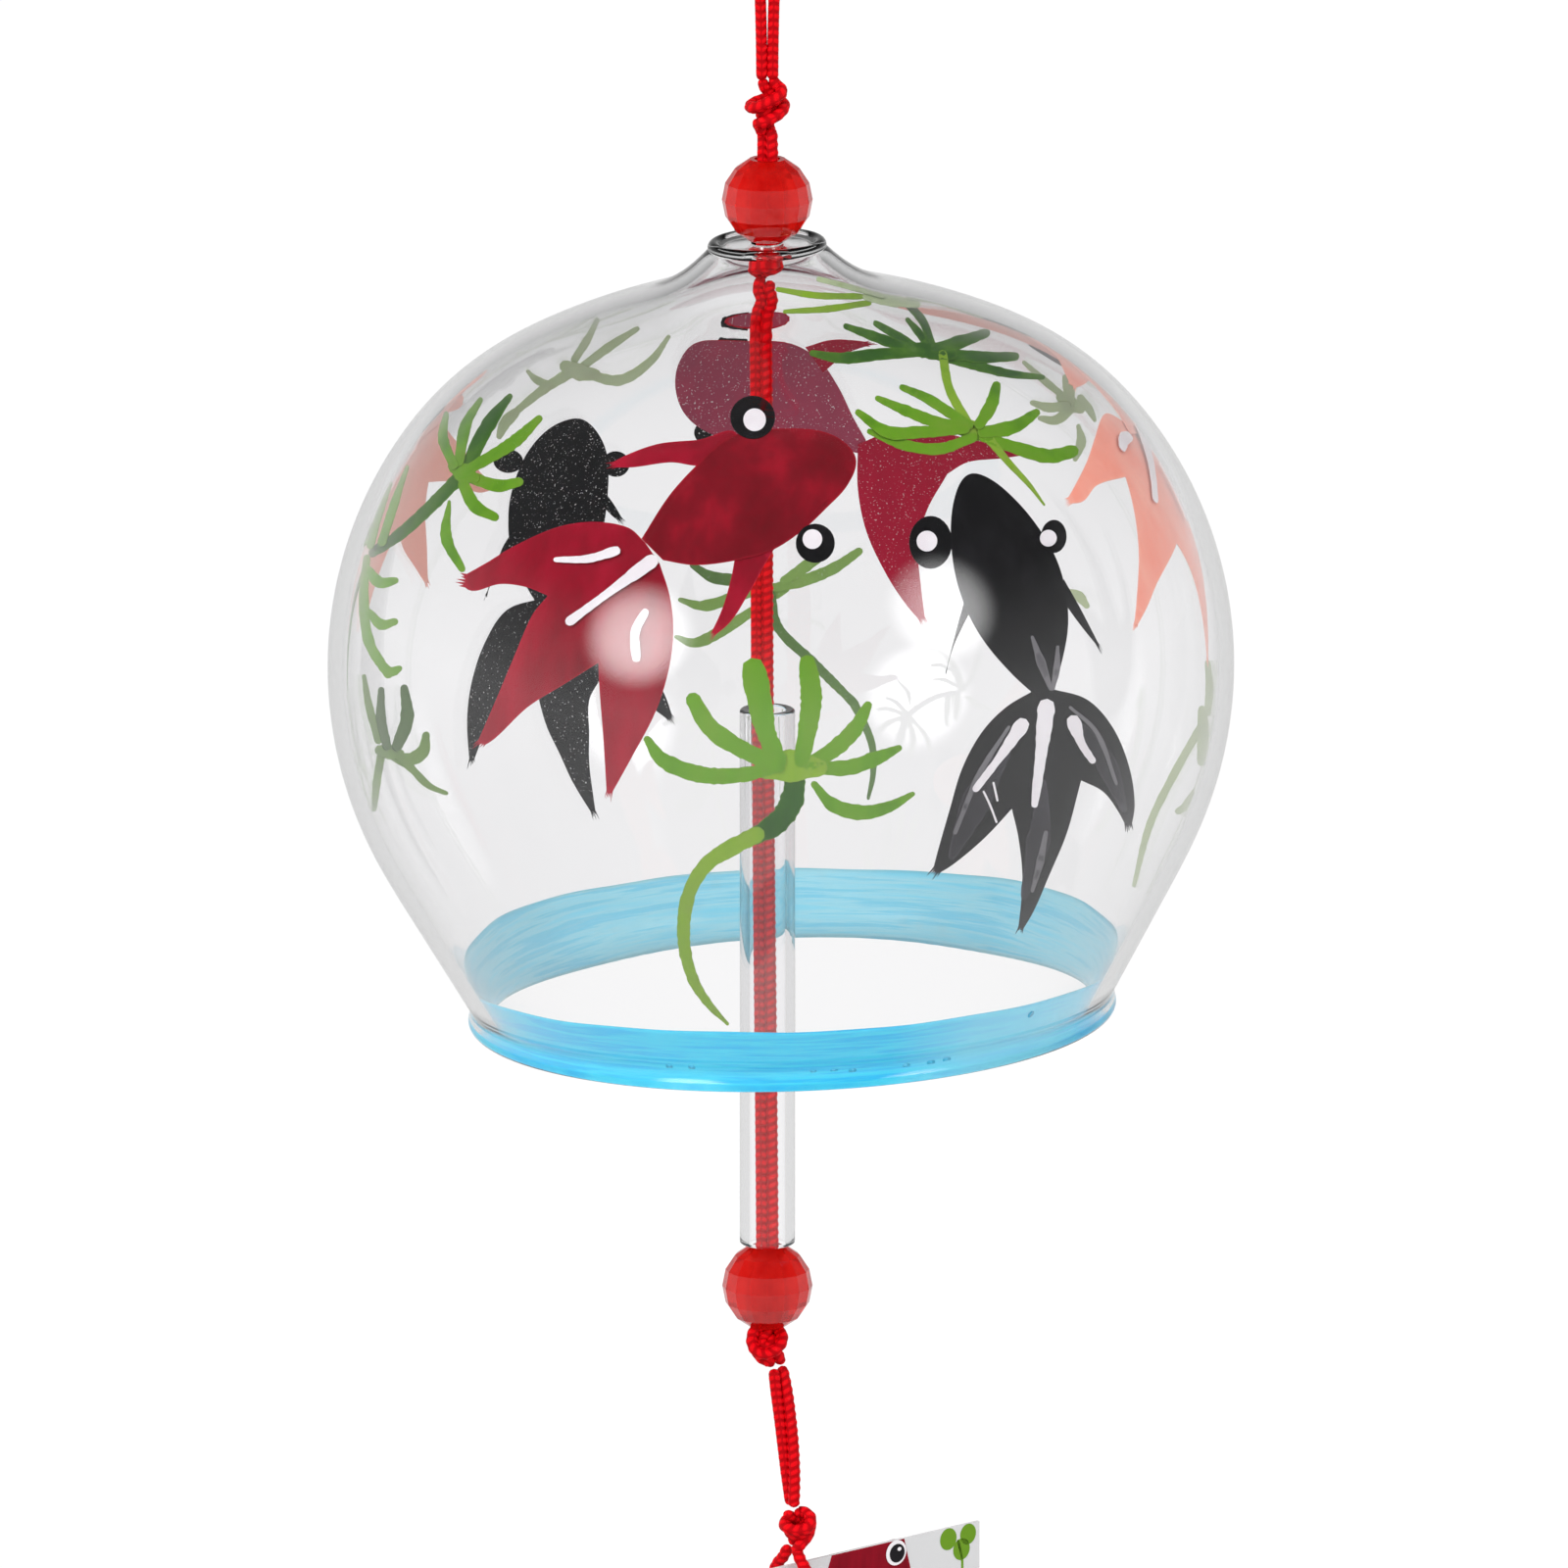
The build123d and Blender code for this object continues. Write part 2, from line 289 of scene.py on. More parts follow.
def mapped(tree, value, low, high, start=0.0, end=1.0, **settings):
    """A value that runs from start to end, mapped to run from low to high."""
    inputs = {"Value": value, "From Min": start, "From Max": end, "To Min": low, "To Max": high}
    return node(tree, "MapRange", inputs, **settings).outputs["Result"]


def attribute(tree, name):
    """A value that the mesh has at its points."""
    return node(tree, "Attribute", attribute_name=name).outputs["Fac"]


def object_place(tree):
    """The place on the object."""
    return node(tree, "TexCoord").outputs["Object"]


def noise(tree, place, scale, detail, **more):
    """Soft noise from 0 to 1."""
    inputs = {"Vector": place, "Scale": scale, "Detail": detail, **more}
    return node(tree, "TexNoise", inputs).outputs["Fac"]


def bump(tree, height, strength, distance):
    """A bump from a height."""
    made = node(tree, "Bump", {"Height": height, "Strength": strength, "Distance": distance})
    return made.outputs["Normal"]


# Materials
glass_tint = (0.985, 0.98, 0.987)
glass_shadow_tint = (0.96, 0.96, 0.965)
glass_depth_tint = (0.64, 0.69, 0.67)
glass_density = 32
glass_index = 1.5
acrylic_index = 1.49
acrylic_shadow_tint = (0.85, 0.08, 0.06)


def make_cord_material():
    """Red nylon braid, with painted shade in the grooves and painted highlights as pale flecks on the crowns of the
    braid.
    """
    material, tree = new_material("red_braid")
    crown, place = attribute(tree, "crown"), object_place(tree)
    # Painted highlights: pale flecks where the braid's crowns stand highest.
    lit = maths(tree, "MULTIPLY", crown, noise(tree, place, 2300, 2))
    painted_glints = ramp(tree, lit, (0.5, grey(0)), (0.68, grey(0.3)))
    # Painted shade: the red is darker down in the braid's grooves and brighter on its crowns.
    body = ramp(tree, crown, (0.0, (0.42, 0.001, 0.004)), (0.45, (0.76, 0.003, 0.008)))
    fibre = {"Vector": place, "Scale": 1400, "Distortion": 3, "Detail": 2}
    fibre = node(tree, "TexWave", fibre).outputs["Fac"]
    inputs = {
        "Base Color": mix_colour(tree, painted_glints, body, (0.92, 0.1, 0.1)),
        "Roughness": 0.5,
        "Specular IOR Level": 0.05,
        "Normal": bump(tree, fibre, 0.25, 0.03 * mm),
    }
    show(tree, node(tree, "BsdfPrincipled", inputs).outputs[0])
    return material


def lamp_light_through(tree, shader, tint):
    """The shader, but clear to light from lamps, so that what is inside stays lit."""
    shadow = node(tree, "LightPath").outputs["Is Shadow Ray"]
    return mix_shader(tree, shadow, shader.outputs[0], clear_shader(tree, tint))


def make_glass_material(name, wave_scale, wave_depth):
    """Clear blown glass: its walls are real, and its surfaces run a little uneven."""
    material, tree = new_material(name)
    waves = noise(tree, object_place(tree), wave_scale, 1)
    inputs = {
        "Base Color": opaque(glass_tint),
        "Roughness": 0.0,
        "IOR": glass_index,
        "Transmission Weight": 1.0,
        "Normal": bump(tree, waves, 0.5, wave_depth),
    }
    shader = node(tree, "BsdfPrincipled", inputs)
    depth = {"Color": opaque(glass_depth_tint), "Density": glass_density}
    depth = node(tree, "VolumeAbsorption", depth).outputs[0]
    show(tree, lamp_light_through(tree, shader, glass_shadow_tint), Volume=depth)
    return material


def make_bead_material():
    """Clear red acrylic, faceted and polished, with fine marks and a painted reflection: paler red towards its rim."""
    material, tree = new_material("clear_red_acrylic")
    marks = noise(tree, object_place(tree), 900, 3)
    colour = ramp(tree, marks, (0.3, (0.66, 0.006, 0.004)), (0.7, (0.76, 0.016, 0.011)))
    # Painted reflection: pale red mixed in where the surface turns away from view.
    rim = node(tree, "LayerWeight", {"Blend": 0.12}).outputs["Facing"]
    rim = ramp(tree, rim, (0.55, grey(0)), (1.0, grey(0.55)))
    inputs = {
        "Base Color": mix_colour(tree, rim, colour, (0.95, 0.3, 0.27)),
        "Roughness": 0.03,
        "IOR": acrylic_index,
        "Specular IOR Level": 0.5,
        "Transmission Weight": 0.6,
        "Normal": bump(tree, marks, 0.12, 0.01 * mm),
    }
    shader = node(tree, "BsdfPrincipled", inputs)
    show(tree, lamp_light_through(tree, shader, acrylic_shadow_tint))
    return material


# Round the band, in turns from its right side: where painted reflections make the coat paler, and how much
band_unrolled_radius = 28
band_painted_reflections = (
    (0.0, 0.25), (0.12, 0.05), (0.45, 0.15), (0.8, 0.0),
    (0.845, 0.5), (0.9, 0.45), (0.93, 0.08), (1.0, 0.25),
)
band_streaks = (0.05, 1.3, 1)


def make_band_material(name, deep, light, reflection_colour, clear):
    """See-through sky blue, brushed on round the mouth in streaks, with painted reflections as paler zones."""
    material, tree = new_material(name)
    place = node(tree, "UVMap", uv_map="UVMap").outputs["UV"]
    brushed = node(tree, "Mapping", {"Vector": place, "Scale": band_streaks}).outputs[0]
    streaks = noise(tree, brushed, 1.0, 5, Roughness=0.62)
    colour = ramp(tree, streaks, (0.34, deep), (0.5, light), (0.58, deep), (0.72, light))
    along = node(tree, "SeparateXYZ", {0: place}).outputs["X"]
    # Painted reflections: the coat made paler at set places round the mouth.
    turns = maths(tree, "DIVIDE", along, 2 * pi * band_unrolled_radius)
    reflection_zones = ramp(tree, turns, *((turn, grey(level)) for turn, level in band_painted_reflections))
    colour = mix_colour(tree, reflection_zones, colour, reflection_colour)
    coat = {"Base Color": colour, "Roughness": 0.12, "Specular IOR Level": 0.2}
    coat = node(tree, "BsdfPrincipled", coat).outputs[0]
    covered = ramp(tree, streaks, (0.3, grey(1 - clear)), (0.7, grey(1 - clear * 1.35)))
    show(tree, mix_shader(tree, covered, clear_shader(tree, colour), coat))
    return material


def make_paper_material():
    """Stiff white card with a fine tooth."""
    material, tree = new_material("white_card")
    place = object_place(tree)
    cloud = noise(tree, place, 40, 3)
    inputs = {
        "Base Color": ramp(tree, cloud, (0.3, (0.66, 0.66, 0.67)), (0.7, (0.71, 0.71, 0.715))),
        "Roughness": 0.6,
        "Specular IOR Level": 0.25,
        "Normal": bump(tree, noise(tree, place, 2500, 4), 0.2, 0.01 * mm),
    }
    show(tree, node(tree, "BsdfPrincipled", inputs).outputs[0])
    return material


cord_material = make_cord_material()
bead_material = make_bead_material()
bell_glass = make_glass_material("blown_glass", 45, 0.015 * mm)
tube_glass = make_glass_material("tube_glass", 120, 0.004 * mm)
band_outside = make_band_material(
    "band_against_glass", (0.004, 0.54, 0.95), (0.05, 0.74, 0.99), (0.42, 0.86, 0.98), 0.05
)
band_inside = make_band_material(
    "band_open_side", (0.27, 0.86, 0.98), (0.54, 0.95, 0.99), (0.66, 0.95, 0.99), 0.3
)
cad_materials = {
    "clapper_tube": tube_glass,
    "top_bead": bead_material,
    "lower_bead": bead_material,
    "paper_strip": make_paper_material(),
}
for name, material in cad_materials.items():
    nodes[name].data.materials.clear()
    nodes[name].data.materials.append(material)


def new_object(name, vertices, faces, materials):
    """An object of the scene, from its points and faces."""
    mesh = bpy.data.meshes.new(name)
    mesh.from_pydata(vertices, [], faces)
    for material in materials:
        mesh.materials.append(material)
    made = bpy.data.objects.new(name, mesh)
    bpy.context.scene.collection.objects.link(made)
    return made


def new_piece(made, body, slot, replaced=None, sides=(), sharp=None, **attributes):
    """A new object as a smooth piece of a body, with values for its points.

    Its sides are the numbers of its faces' materials, and its edges are sharp over an angle.
    """
    mesh = made.data
    mesh.shade_smooth()
    if sides:
        mesh.polygons.foreach_set("material_index", sides)
    for label, values in attributes.items():
        values = np.array(values, np.float32)
        mesh.attributes.new(label, "FLOAT", "POINT").data.foreach_set("value", values)
    if sharp:
        mesh.set_sharp_from_angle(angle=radians(sharp))
    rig.ride(made, body)
    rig.slot(made, slot)
    if replaced:
        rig.replaces(made, replaced)
    return made


def ring_faces(rings, size, start=0, around=False):
    """Faces between rings of points. Rings around an axis close, and their faces turn over."""
    faces = []
    for ring in range(rings if around else rings - 1):
        low, high = start + ring * size, start + (ring + 1) % rings * size
        for turn in range(size):
            after = (turn + 1) % size
            face = (low + turn, low + after, high + after, high + turn)
            faces.append((face[0], *face[:0:-1]) if around else face)
    return faces


# Smooth lines, and the cord's strands along them


def route(points):
    """Points along one smooth open curve, whose control points are given."""
    curve = bpy.data.curves.new("route", "CURVE")
    curve.dimensions = "3D"
    spline = curve.splines.new("NURBS")
    spline.points.add(len(points) - 1)
    for control, point in zip(spline.points, points):
        control.co = (*point, 1)
    spline.order_u = 3
    spline.use_endpoint_u = True
    curve.resolution_u = 24
    holder = bpy.data.objects.new("route", curve)
    line = bpy.data.meshes.new_from_object(holder)
    places = [tuple(vertex.co) for vertex in line.vertices]
    bpy.data.objects.remove(holder)
    bpy.data.meshes.remove(line)
    bpy.data.curves.remove(curve)
    return places


def evenly(points, step):
    """The same line, as points about one step apart."""
    points = np.array(points, float)
    lengths = np.concatenate(([0], np.cumsum(np.linalg.norm(np.diff(points, axis=0), axis=1))))
    count = max(4, int(round(lengths[-1] / step)) + 1)
    at = np.linspace(0, lengths[-1], count)
    return np.column_stack([np.interp(at, lengths, points[:, axis]) for axis in range(3)])


def frames_along(line, side):
    """Directions along the line, and two across it that don't twist, from a side at its start."""
    along = np.gradient(line, axis=0)
    along /= np.linalg.norm(along, axis=1)[:, None]
    across = np.zeros_like(line)
    side = np.array(side, float)
    for index, direction in enumerate(along):
        side = side - direction * side.dot(direction)
        side /= np.linalg.norm(side)
        across[index] = side
    return along, across, np.cross(along, across)


def braided_strand(line, side, phase):
    """Vertices, faces and braid heights of one braided strand with rounded ends."""
    line = evenly(line, braid_step)
    _, across, beside = frames_along(line, side)
    run = np.linspace(0, (len(line) - 1) * braid_step, len(line))
    angle = np.arange(braid_sides) * 2 * pi / braid_sides
    column = (angle / (2 * pi) * braid_columns + phase) % braid_columns
    share = column % 1
    slant = np.where(column.astype(int) % 2 == 0, braid_slant, -braid_slant)
    dome = np.sin(pi * share) ** braid_dome
    wave = np.cos((run * 2 * pi / braid_pitch)[:, None] + (slant * (share - 0.5))[None, :])
    relief = dome[None, :] * (braid_ground + braid_weave * wave)
    end = np.clip(np.minimum(run, run[-1] - run) / strand_radius, 0, 1)
    rounding = np.sqrt(np.clip(1 - (1 - end) ** 2, end_roundness, 1))
    reach = strand_radius * rounding[:, None] * (1 + braid_relief * relief)
    ring = (
        across[:, None, :] * np.cos(angle)[None, :, None]
        + beside[:, None, :] * np.sin(angle)[None, :, None]
    )
    vertices = (line[:, None, :] + ring * reach[:, :, None]).reshape(-1, 3)
    faces = ring_faces(len(line), braid_sides)
    faces.append(tuple(reversed(range(braid_sides))))
    faces.append(tuple(range((len(line) - 1) * braid_sides, len(line) * braid_sides)))
    return vertices, faces, np.clip(relief, 0, 1).reshape(-1)


across_x = (1, 0, 0)


def cord_piece(cord, lines, body, side=across_x):
    """Braid in place of a cord or knot: one strand along each line."""
    vertices, faces, crowns = [], [], []
    for index, line in enumerate(lines):
        points, quads, heights = braided_strand(line, side, index * strand_phase)
        offset = len(vertices)
        vertices.extend(map(tuple, points))
        faces.extend(tuple(corner + offset for corner in quad) for quad in quads)
        crowns.extend(heights)
    made = new_object(cord + "_braid", vertices, faces, [cord_material])
    return new_piece(made, body, "cord", cord, crown=crowns)


def doubled(points, *turns):
    """The lines of two strands side by side along a smooth route, turned about it on the way."""
    line = evenly(route(points), braid_step)
    _, across, beside = frames_along(line, across_x)
    turns = turns or (0, 0)
    steps = np.linspace(0, 1, len(turns))
    turn = np.radians(np.interp(np.linspace(0, 1, len(line)), steps, turns))[:, None]
    offset = (across * np.cos(turn) + beside * np.sin(turn)) * strand_spacing / 2
    return line, [line - offset, line + offset]


def places(points, origin=Vector()):
    """Points in millimetres from an origin, in metres."""
    return [Vector(point) * mm + origin for point in points]


# Hanging loop: one strand up from the top knot, round the crown and down again
loop_points = (
    (-0.48, 0, -49.85), (-0.5, 0, -38.85), (-2.3, 0.0, -26.5), (-4.2, 0.0, -13.5),
    (-4.4, 0.0, -4.1), (-2.6, 0.0, 0.5), (2.6, 0.0, 0.5), (4.3, 0.0, -4.2), (4.3, 0.0, -13.9),
    (2.1, 0.0, -27.0), (0.5, 0, -38.85), (0.48, 0, -49.85),
)
loop_line = route(places(loop_points))
loop = cord_piece("hanging_loop", [loop_line], "hanger")

# Knots: the doubled cord goes round itself, through points given from each knot's middle
knot_points = {
    "top_knot": (
        (0.0, 0.0, 2.5), (0.25, 0.3, 1.6), (1.0, 0.45, 1.25), (1.3, -0.45, 0.9), (0.3, -1.05, 0.45),
        (-1.0, -0.75, -0.1), (-1.25, 0.5, -0.1), (0.0, 1.05, 0.25), (1.25, 0.55, 0.1),
        (0.95, -0.75, -0.35), (-0.2, -1.1, -0.85), (-0.9, -0.35, -1.1), (-0.45, 0.45, -1.5),
        (0.0, 0.0, -2.6),
    ),
    "stopper_knot": (
        (0.0, 0.0, 1.2), (1.0, 0.45, 0.8), (1.35, -0.45, 0.75), (0.1, -1.0, 0.4),
        (-1.0, -0.75, 0.05), (-1.1, 0.3, 0.0), (0.0, 0.95, 0.15), (1.2, 0.55, 0.15),
        (1.4, -0.4, 0.0), (0.2, -0.95, -0.35), (-0.85, -0.6, -0.65), (-0.6, 0.25, -0.9),
        (0.0, 0.0, -1.3),
    ),
    "lower_knot": (
        (0.1, 0.0, 1.7), (-0.75, 0.1, 1.25), (-1.15, -0.2, 0.5), (-0.85, -0.85, -0.25),
        (0.1, -1.05, -0.4), (1.05, -0.6, 0.25), (0.95, 0.45, 0.85), (0.0, 0.9, 0.75),
        (-0.8, 0.45, 0.0), (-0.45, -0.25, -0.75), (0.55, -0.45, -1.05), (0.8, -0.1, -1.5),
        (0.8, 0.0, -1.9),
    ),
    "tie_knot": (
        (0.0, 0.0, 1.7), (0.15, 0.3, 1.15), (1.05, 0.6, 1.25), (1.95, 0.0, 0.85),
        (1.75, -0.75, 0.1), (0.7, -1.05, -0.15), (-0.45, -0.7, -0.05), (-0.55, 0.45, 0.25),
        (0.5, 0.95, 0.3), (1.35, 0.35, -0.4), (0.7, -0.5, -0.9), (0.0, 0.0, -1.7),
    ),
}
knot_tightness = 0.88
knot_bodies = {
    "top_knot": "top_knot",
    "stopper_knot": "stopper",
    "lower_knot": "lower_knot",
    "tie_knot": "strip",
}
knot_pieces = {}
for name, points in knot_points.items():
    low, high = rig.box(name)
    middle = Vector((tie_flex.x if name == "tie_knot" else 0, 0, (low.z + high.z) / 2))
    points = [(x * knot_tightness, y * knot_tightness, z) for x, y, z in points]
    _, strands = doubled(places(points, middle))
    knot_pieces[name] = cord_piece(name, strands, knot_bodies[name])

# Doubled cords between the knots
neck_points = ((0, 0, -54.1), (0.05, 0, -57.5), (0, 0, -61.0), (0, 0, -65.9))
_, strands = doubled(places(neck_points), 40, 0)
cord_piece("neck_cord", strands, "bell")
clapper_points = (
    (0.0, 0, -68.2), (-0.5, 0, -69.2), (0.15, 0, -70.5), (-0.6, 0, -72.2), (-0.52, 0, -77.0),
    (-0.5, 0, -90.0), (-0.45, 0, -106.6), (-0.25, 0, -130.0), (0.0, 0, -153.0), (0.0, 0, -163.0),
)
clapper_line, clapper_strands = doubled(places(clapper_points), 10, 0)
clapper_cord = cord_piece("clapper_cord", clapper_strands, "clapper")

tail_overlap = 0.3 * mm
tail_bow = Vector((0.35, 0, 0.5)) * mm
tail_top = Vector((tail_flex.x, 0, tail_flex.z + tail_overlap))
tail_foot = Vector((tie_flex.x, 0, tie_flex.z - tail_overlap))
tail_middle = (tail_top + tail_foot) / 2 + tail_bow
_, strands = doubled([tail_top, tail_middle, tail_foot], -45, 0, 15, 40, 75)
cord_piece("tail_cord", strands, "tail")

# Tie loop through the strip's hole: its leg's points as shares of its width and drop
tie_low, tie_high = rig.box("tie_loop")
tie_top = Vector((tie_flex.x, 0, tie_high.z))
tie_drop = tie_high.z - tie_low.z - strand_radius
tie_leg_shares = ((0.24, 0.0), (0.37, 0.2), (1.0, 0.46), (1.0, 0.76), (0.48, 1.0))
tie_side = 2.3 * mm
tie_leg = [(side * tie_side, Vector((0, 0, drop * tie_drop))) for side, drop in tie_leg_shares]
tie_route = [tie_top - strip_face * side - drop for side, drop in tie_leg]
tie_route += [tie_top + strip_face * side - drop for side, drop in reversed(tie_leg)]
cord_piece("tie_loop", [route(tie_route)], "strip", strip_across)

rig.cord(
    loop,
    exit=loop_line[0],
    length=0.1058,
    diameter=2 * strand_radius,
    far_end="object",
    stiffness="limp",
    lay="hanging",
    path=loop_line,
)
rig.cord(
    clapper_cord,
    exit=tuple(clapper_line[0]),
    length=0.0947,
    diameter=strand_spacing + 2 * strand_radius,
    far_end="knot",
    stiffness="limp",
    lay="taut",
    path=[tuple(point) for point in clapper_line],
    with_pieces=[knot_pieces["lower_knot"]],
)

# The glass bell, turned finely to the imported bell's own section: lengths in millimetres
bell_equator = Vector((1.194, 0, -102.607)) * mm
bell_across = Vector((0, 1, 0)).cross(bell_up).normalized()
bell_across = bell_across if bell_across.x > 0 else -bell_across
bell_radius = 40.05
equator_arc = 35.4
shoulder_arc = 26.3
crown_arc = 68.0
lower_arc = 36.0
shoulder_from, crown_from, lower_to = radians(38.5), radians(38.5 + 26.2), radians(-29.4)
glass_wall = 1.3
neck_radius, neck_rise, neck_flare, neck_inner_corner = 4.9, 2.8, 10.0, 0.8
lip_overhang, lip_round = 0.35, 0.6
dish_depth, throat_floor, throat_radius = 0.3, 1.0, 1.4
rim_depth, rim_height, rim_flare = 31.8, 1.7, 0.4
rim_notch_round, rim_edge_round = 1.0, 0.55
bell_azimuths = 192
arc_step = 0.7
corner_step = 0.12
side_step = 0.6
side_easing = 24
section_gap = 0.01
glass_sharp_angle = 35

equator_centre = Vector((bell_radius - equator_arc, 0))
lower_centre = Vector((bell_radius - lower_arc, 0))
shoulder_centre = equator_centre + (equator_arc - shoulder_arc) * Vector(
    (cos(shoulder_from), sin(shoulder_from))
)
crown_centre = shoulder_centre + (shoulder_arc - crown_arc) * Vector(
    (cos(crown_from), sin(crown_from))
)
crown_height = crown_centre.y + sqrt(crown_arc**2 - crown_centre.x**2)
lip_height = crown_height + neck_rise
floor_level = lip_height - dish_depth
underside = floor_level - throat_floor
to_neck = Vector((neck_radius, floor_level)) - crown_centre
flare_reach = crown_arc + neck_flare
flare_cosine = to_neck.length**2 + flare_reach**2 - neck_flare**2
flare_cosine /= 2 * to_neck.length * flare_reach
flare_from = atan2(to_neck.y, to_neck.x) - acos(flare_cosine)
flare_centre = crown_centre + flare_reach * Vector((cos(flare_from), sin(flare_from)))


def turned_back(start, end):
    """The angle of an arc's end, reached from its start by turning clockwise."""
    return start - (start - end) % (2 * pi)


def arc(centre, radius, start, end, step):
    """Points of an arc in the bell's section, both ends with it."""
    count = max(2, round(abs(end - start) * radius / step))
    turns = [start + (end - start) * i / count for i in range(count + 1)]
    return [centre + Vector((cos(turn), sin(turn))) * radius for turn in turns]


def rounded(before, corner, after, radius):
    """The arc that rounds a corner between two straight runs of the section."""
    one, two = (before - corner).normalized(), (after - corner).normalized()
    half = acos(max(-1, min(1, one.dot(two)))) / 2
    centre = corner + (one + two).normalized() * radius / sin(half)
    reach = radius / tan(half)
    start, end = corner + one * reach - centre, corner + two * reach - centre
    turn = atan2(start.y, start.x)
    sweep = (atan2(end.y, end.x) - turn + pi) % (2 * pi) - pi
    return arc(centre, radius, turn, turn + sweep, corner_step)


def eased(points):
    """A long side of the section as even points, with its changes of curve made gradual."""
    line = evenly([(point.x, point.y, 0) for point in points], side_step)
    for _ in range(side_easing):
        line[1:-1] = (line[:-2] + 2 * line[1:-1] + line[2:]) / 4
    return [Vector(point[:2]) for point in line]


def bell_side(inset):
    """The section at the rim's notch and from there to the crown, moved in from the outside."""
    radius = lower_arc - inset
    top = lower_centre + Vector((cos(lower_to), sin(lower_to))) * radius
    run = rim_depth - rim_height + top.y
    notch = Vector((top.x - run * tan(-lower_to), -(rim_depth - rim_height)))
    rim = Vector((notch.x + rim_flare, -rim_depth))
    foot = rounded(rim, notch, top, rim_notch_round + inset)
    points = [foot[-1]] + arc(lower_centre, radius, lower_to, 0, arc_step)
    points += arc(equator_centre, equator_arc - inset, 0, shoulder_from, arc_step)[1:]
    points += arc(shoulder_centre, shoulder_arc - inset, shoulder_from, crown_from, arc_step)[1:]
    points += arc(crown_centre, crown_arc - inset, crown_from, flare_from, arc_step)[1:]
    return foot, points, rim, notch


def bell_section():
    """The closed section of the glass, from the inside of its rim round by the lip and back."""
    outer_foot, outside, outer_rim, outer_notch = bell_side(0)
    inner_foot, inside, inner_rim, inner_notch = bell_side(glass_wall)
    # Hollow arcs of the neck: the outer one ends at the lip, the inner one at a round corner
    lip_centre = Vector((neck_radius + lip_overhang - lip_round, lip_height - lip_round))
    flare_start = flare_from - pi
    neck_end = atan2(floor_level - flare_centre.y, neck_radius - flare_centre.x)
    neck_end = turned_back(flare_start, neck_end)
    flare = arc(flare_centre, neck_flare, flare_start, neck_end, corner_step * 2)[1:]
    flare = [point for point in flare if (point - lip_centre).length > lip_round + section_gap]
    foot = flare[-1] - lip_centre
    lip_drop = floor_level - lip_centre.y
    floor_turn = pi - atan2(lip_drop, sqrt(lip_round**2 - lip_drop**2))
    lip = arc(lip_centre, lip_round, atan2(foot.y, foot.x), floor_turn, corner_step / 2)
    corner_centre = Vector((0, underside - neck_inner_corner))
    inner_radius = neck_flare + glass_wall
    reach = inner_radius + neck_inner_corner
    corner_centre.x = flare_centre.x - sqrt(reach**2 - (flare_centre.y - corner_centre.y) ** 2)
    away = flare_centre - corner_centre
    corner = arc(corner_centre, neck_inner_corner, pi / 2, atan2(away.y, away.x), corner_step)
    inner_end = turned_back(flare_start, atan2(-away.y, -away.x))
    inner_flare = arc(flare_centre, inner_radius, inner_end, flare_start, corner_step * 2)
    bottom = rounded(inner_notch, inner_rim, outer_rim, rim_edge_round)
    bottom += rounded(inner_rim, outer_rim, outer_notch, rim_edge_round)
    throat = [Vector((throat_radius, floor_level)), Vector((throat_radius, underside))]
    points = bottom + outer_foot + eased(outside + flare) + lip + throat + corner
    points += eased(inner_flare + inside[-2::-1]) + inner_foot[::-1]
    kept = [points[0]]
    for point in points[1:]:
        if (point - kept[-1]).length > section_gap:
            kept.append(point)
    return kept


def bell_outward(azimuth):
    """The direction out from the bell's axis at an angle about it."""
    return bell_across * cos(azimuth) + Vector((0, 1, 0)) * sin(azimuth)


def make_bell():
    """The mesh of the glass, turned about the bell's own axis."""
    section = bell_section()
    vertices = []
    for step in range(bell_azimuths):
        outward = bell_outward(2 * pi * step / bell_azimuths)
        vertices += [tuple(bell_equator + (outward * r + bell_up * z) * mm) for r, z in section]
    faces = ring_faces(bell_azimuths, len(section), around=True)
    made = new_object("blown_bell", vertices, faces, [bell_glass])
    return new_piece(made, "bell", "glass", "glass_bell", sharp=glass_sharp_angle).data


glass_mesh = make_bell()

# Lines of sight through the photograph, and where they meet the glass
glass_tree = BVHTree.FromPolygons(
    [vertex.co for vertex in glass_mesh.vertices], [face.vertices for face in glass_mesh.polygons]
)
glass_normals = [Vector(corner.vector) for corner in glass_mesh.corner_normals]


def sight(x, y, azimuth):
    """Start and direction of the line of sight through a point of the photograph.

    The azimuth turns the camera round the bell: 0 is the photograph's own view.
    """
    right = Vector((1, 0, 0))
    up = sight_back.cross(right)
    offset = right * ((x - photo_width / 2) / pixels_per_mm * mm)
    offset -= up * ((y - photo_width / 2) / pixels_per_mm * mm)
    turn = Matrix.Rotation(radians(azimuth), 4, "Z")
    start = turn @ (camera.location - bell_equator) + bell_equator
    aim = turn @ (photo_target + offset - bell_equator) + bell_equator
    return start, (aim - start).normalized()


def bent(direction, normal, ratio):
    """The direction of light after a surface, with its ratio of refractive indices."""
    if direction.dot(normal) > 0:
        normal = -normal
    level = -direction.dot(normal)
    inner = 1 - ratio**2 * (1 - level**2)
    if inner < 0:
        return None
    return (direction * ratio + normal * (ratio * level - sqrt(inner))).normalized()


def glass_hit(start, direction):
    """Where a ray meets the glass, and the smooth surface's normal there."""
    place, _, face, _ = glass_tree.ray_cast(start, direction)
    if place is None:
        return None, None
    polygon = glass_mesh.polygons[face]
    shares = poly_3d_calc([glass_mesh.vertices[corner].co for corner in polygon.vertices], place)
    normal = Vector()
    for corner, share in zip(polygon.loop_indices, shares):
        normal += glass_normals[corner] * share
    return place, normal.normalized()


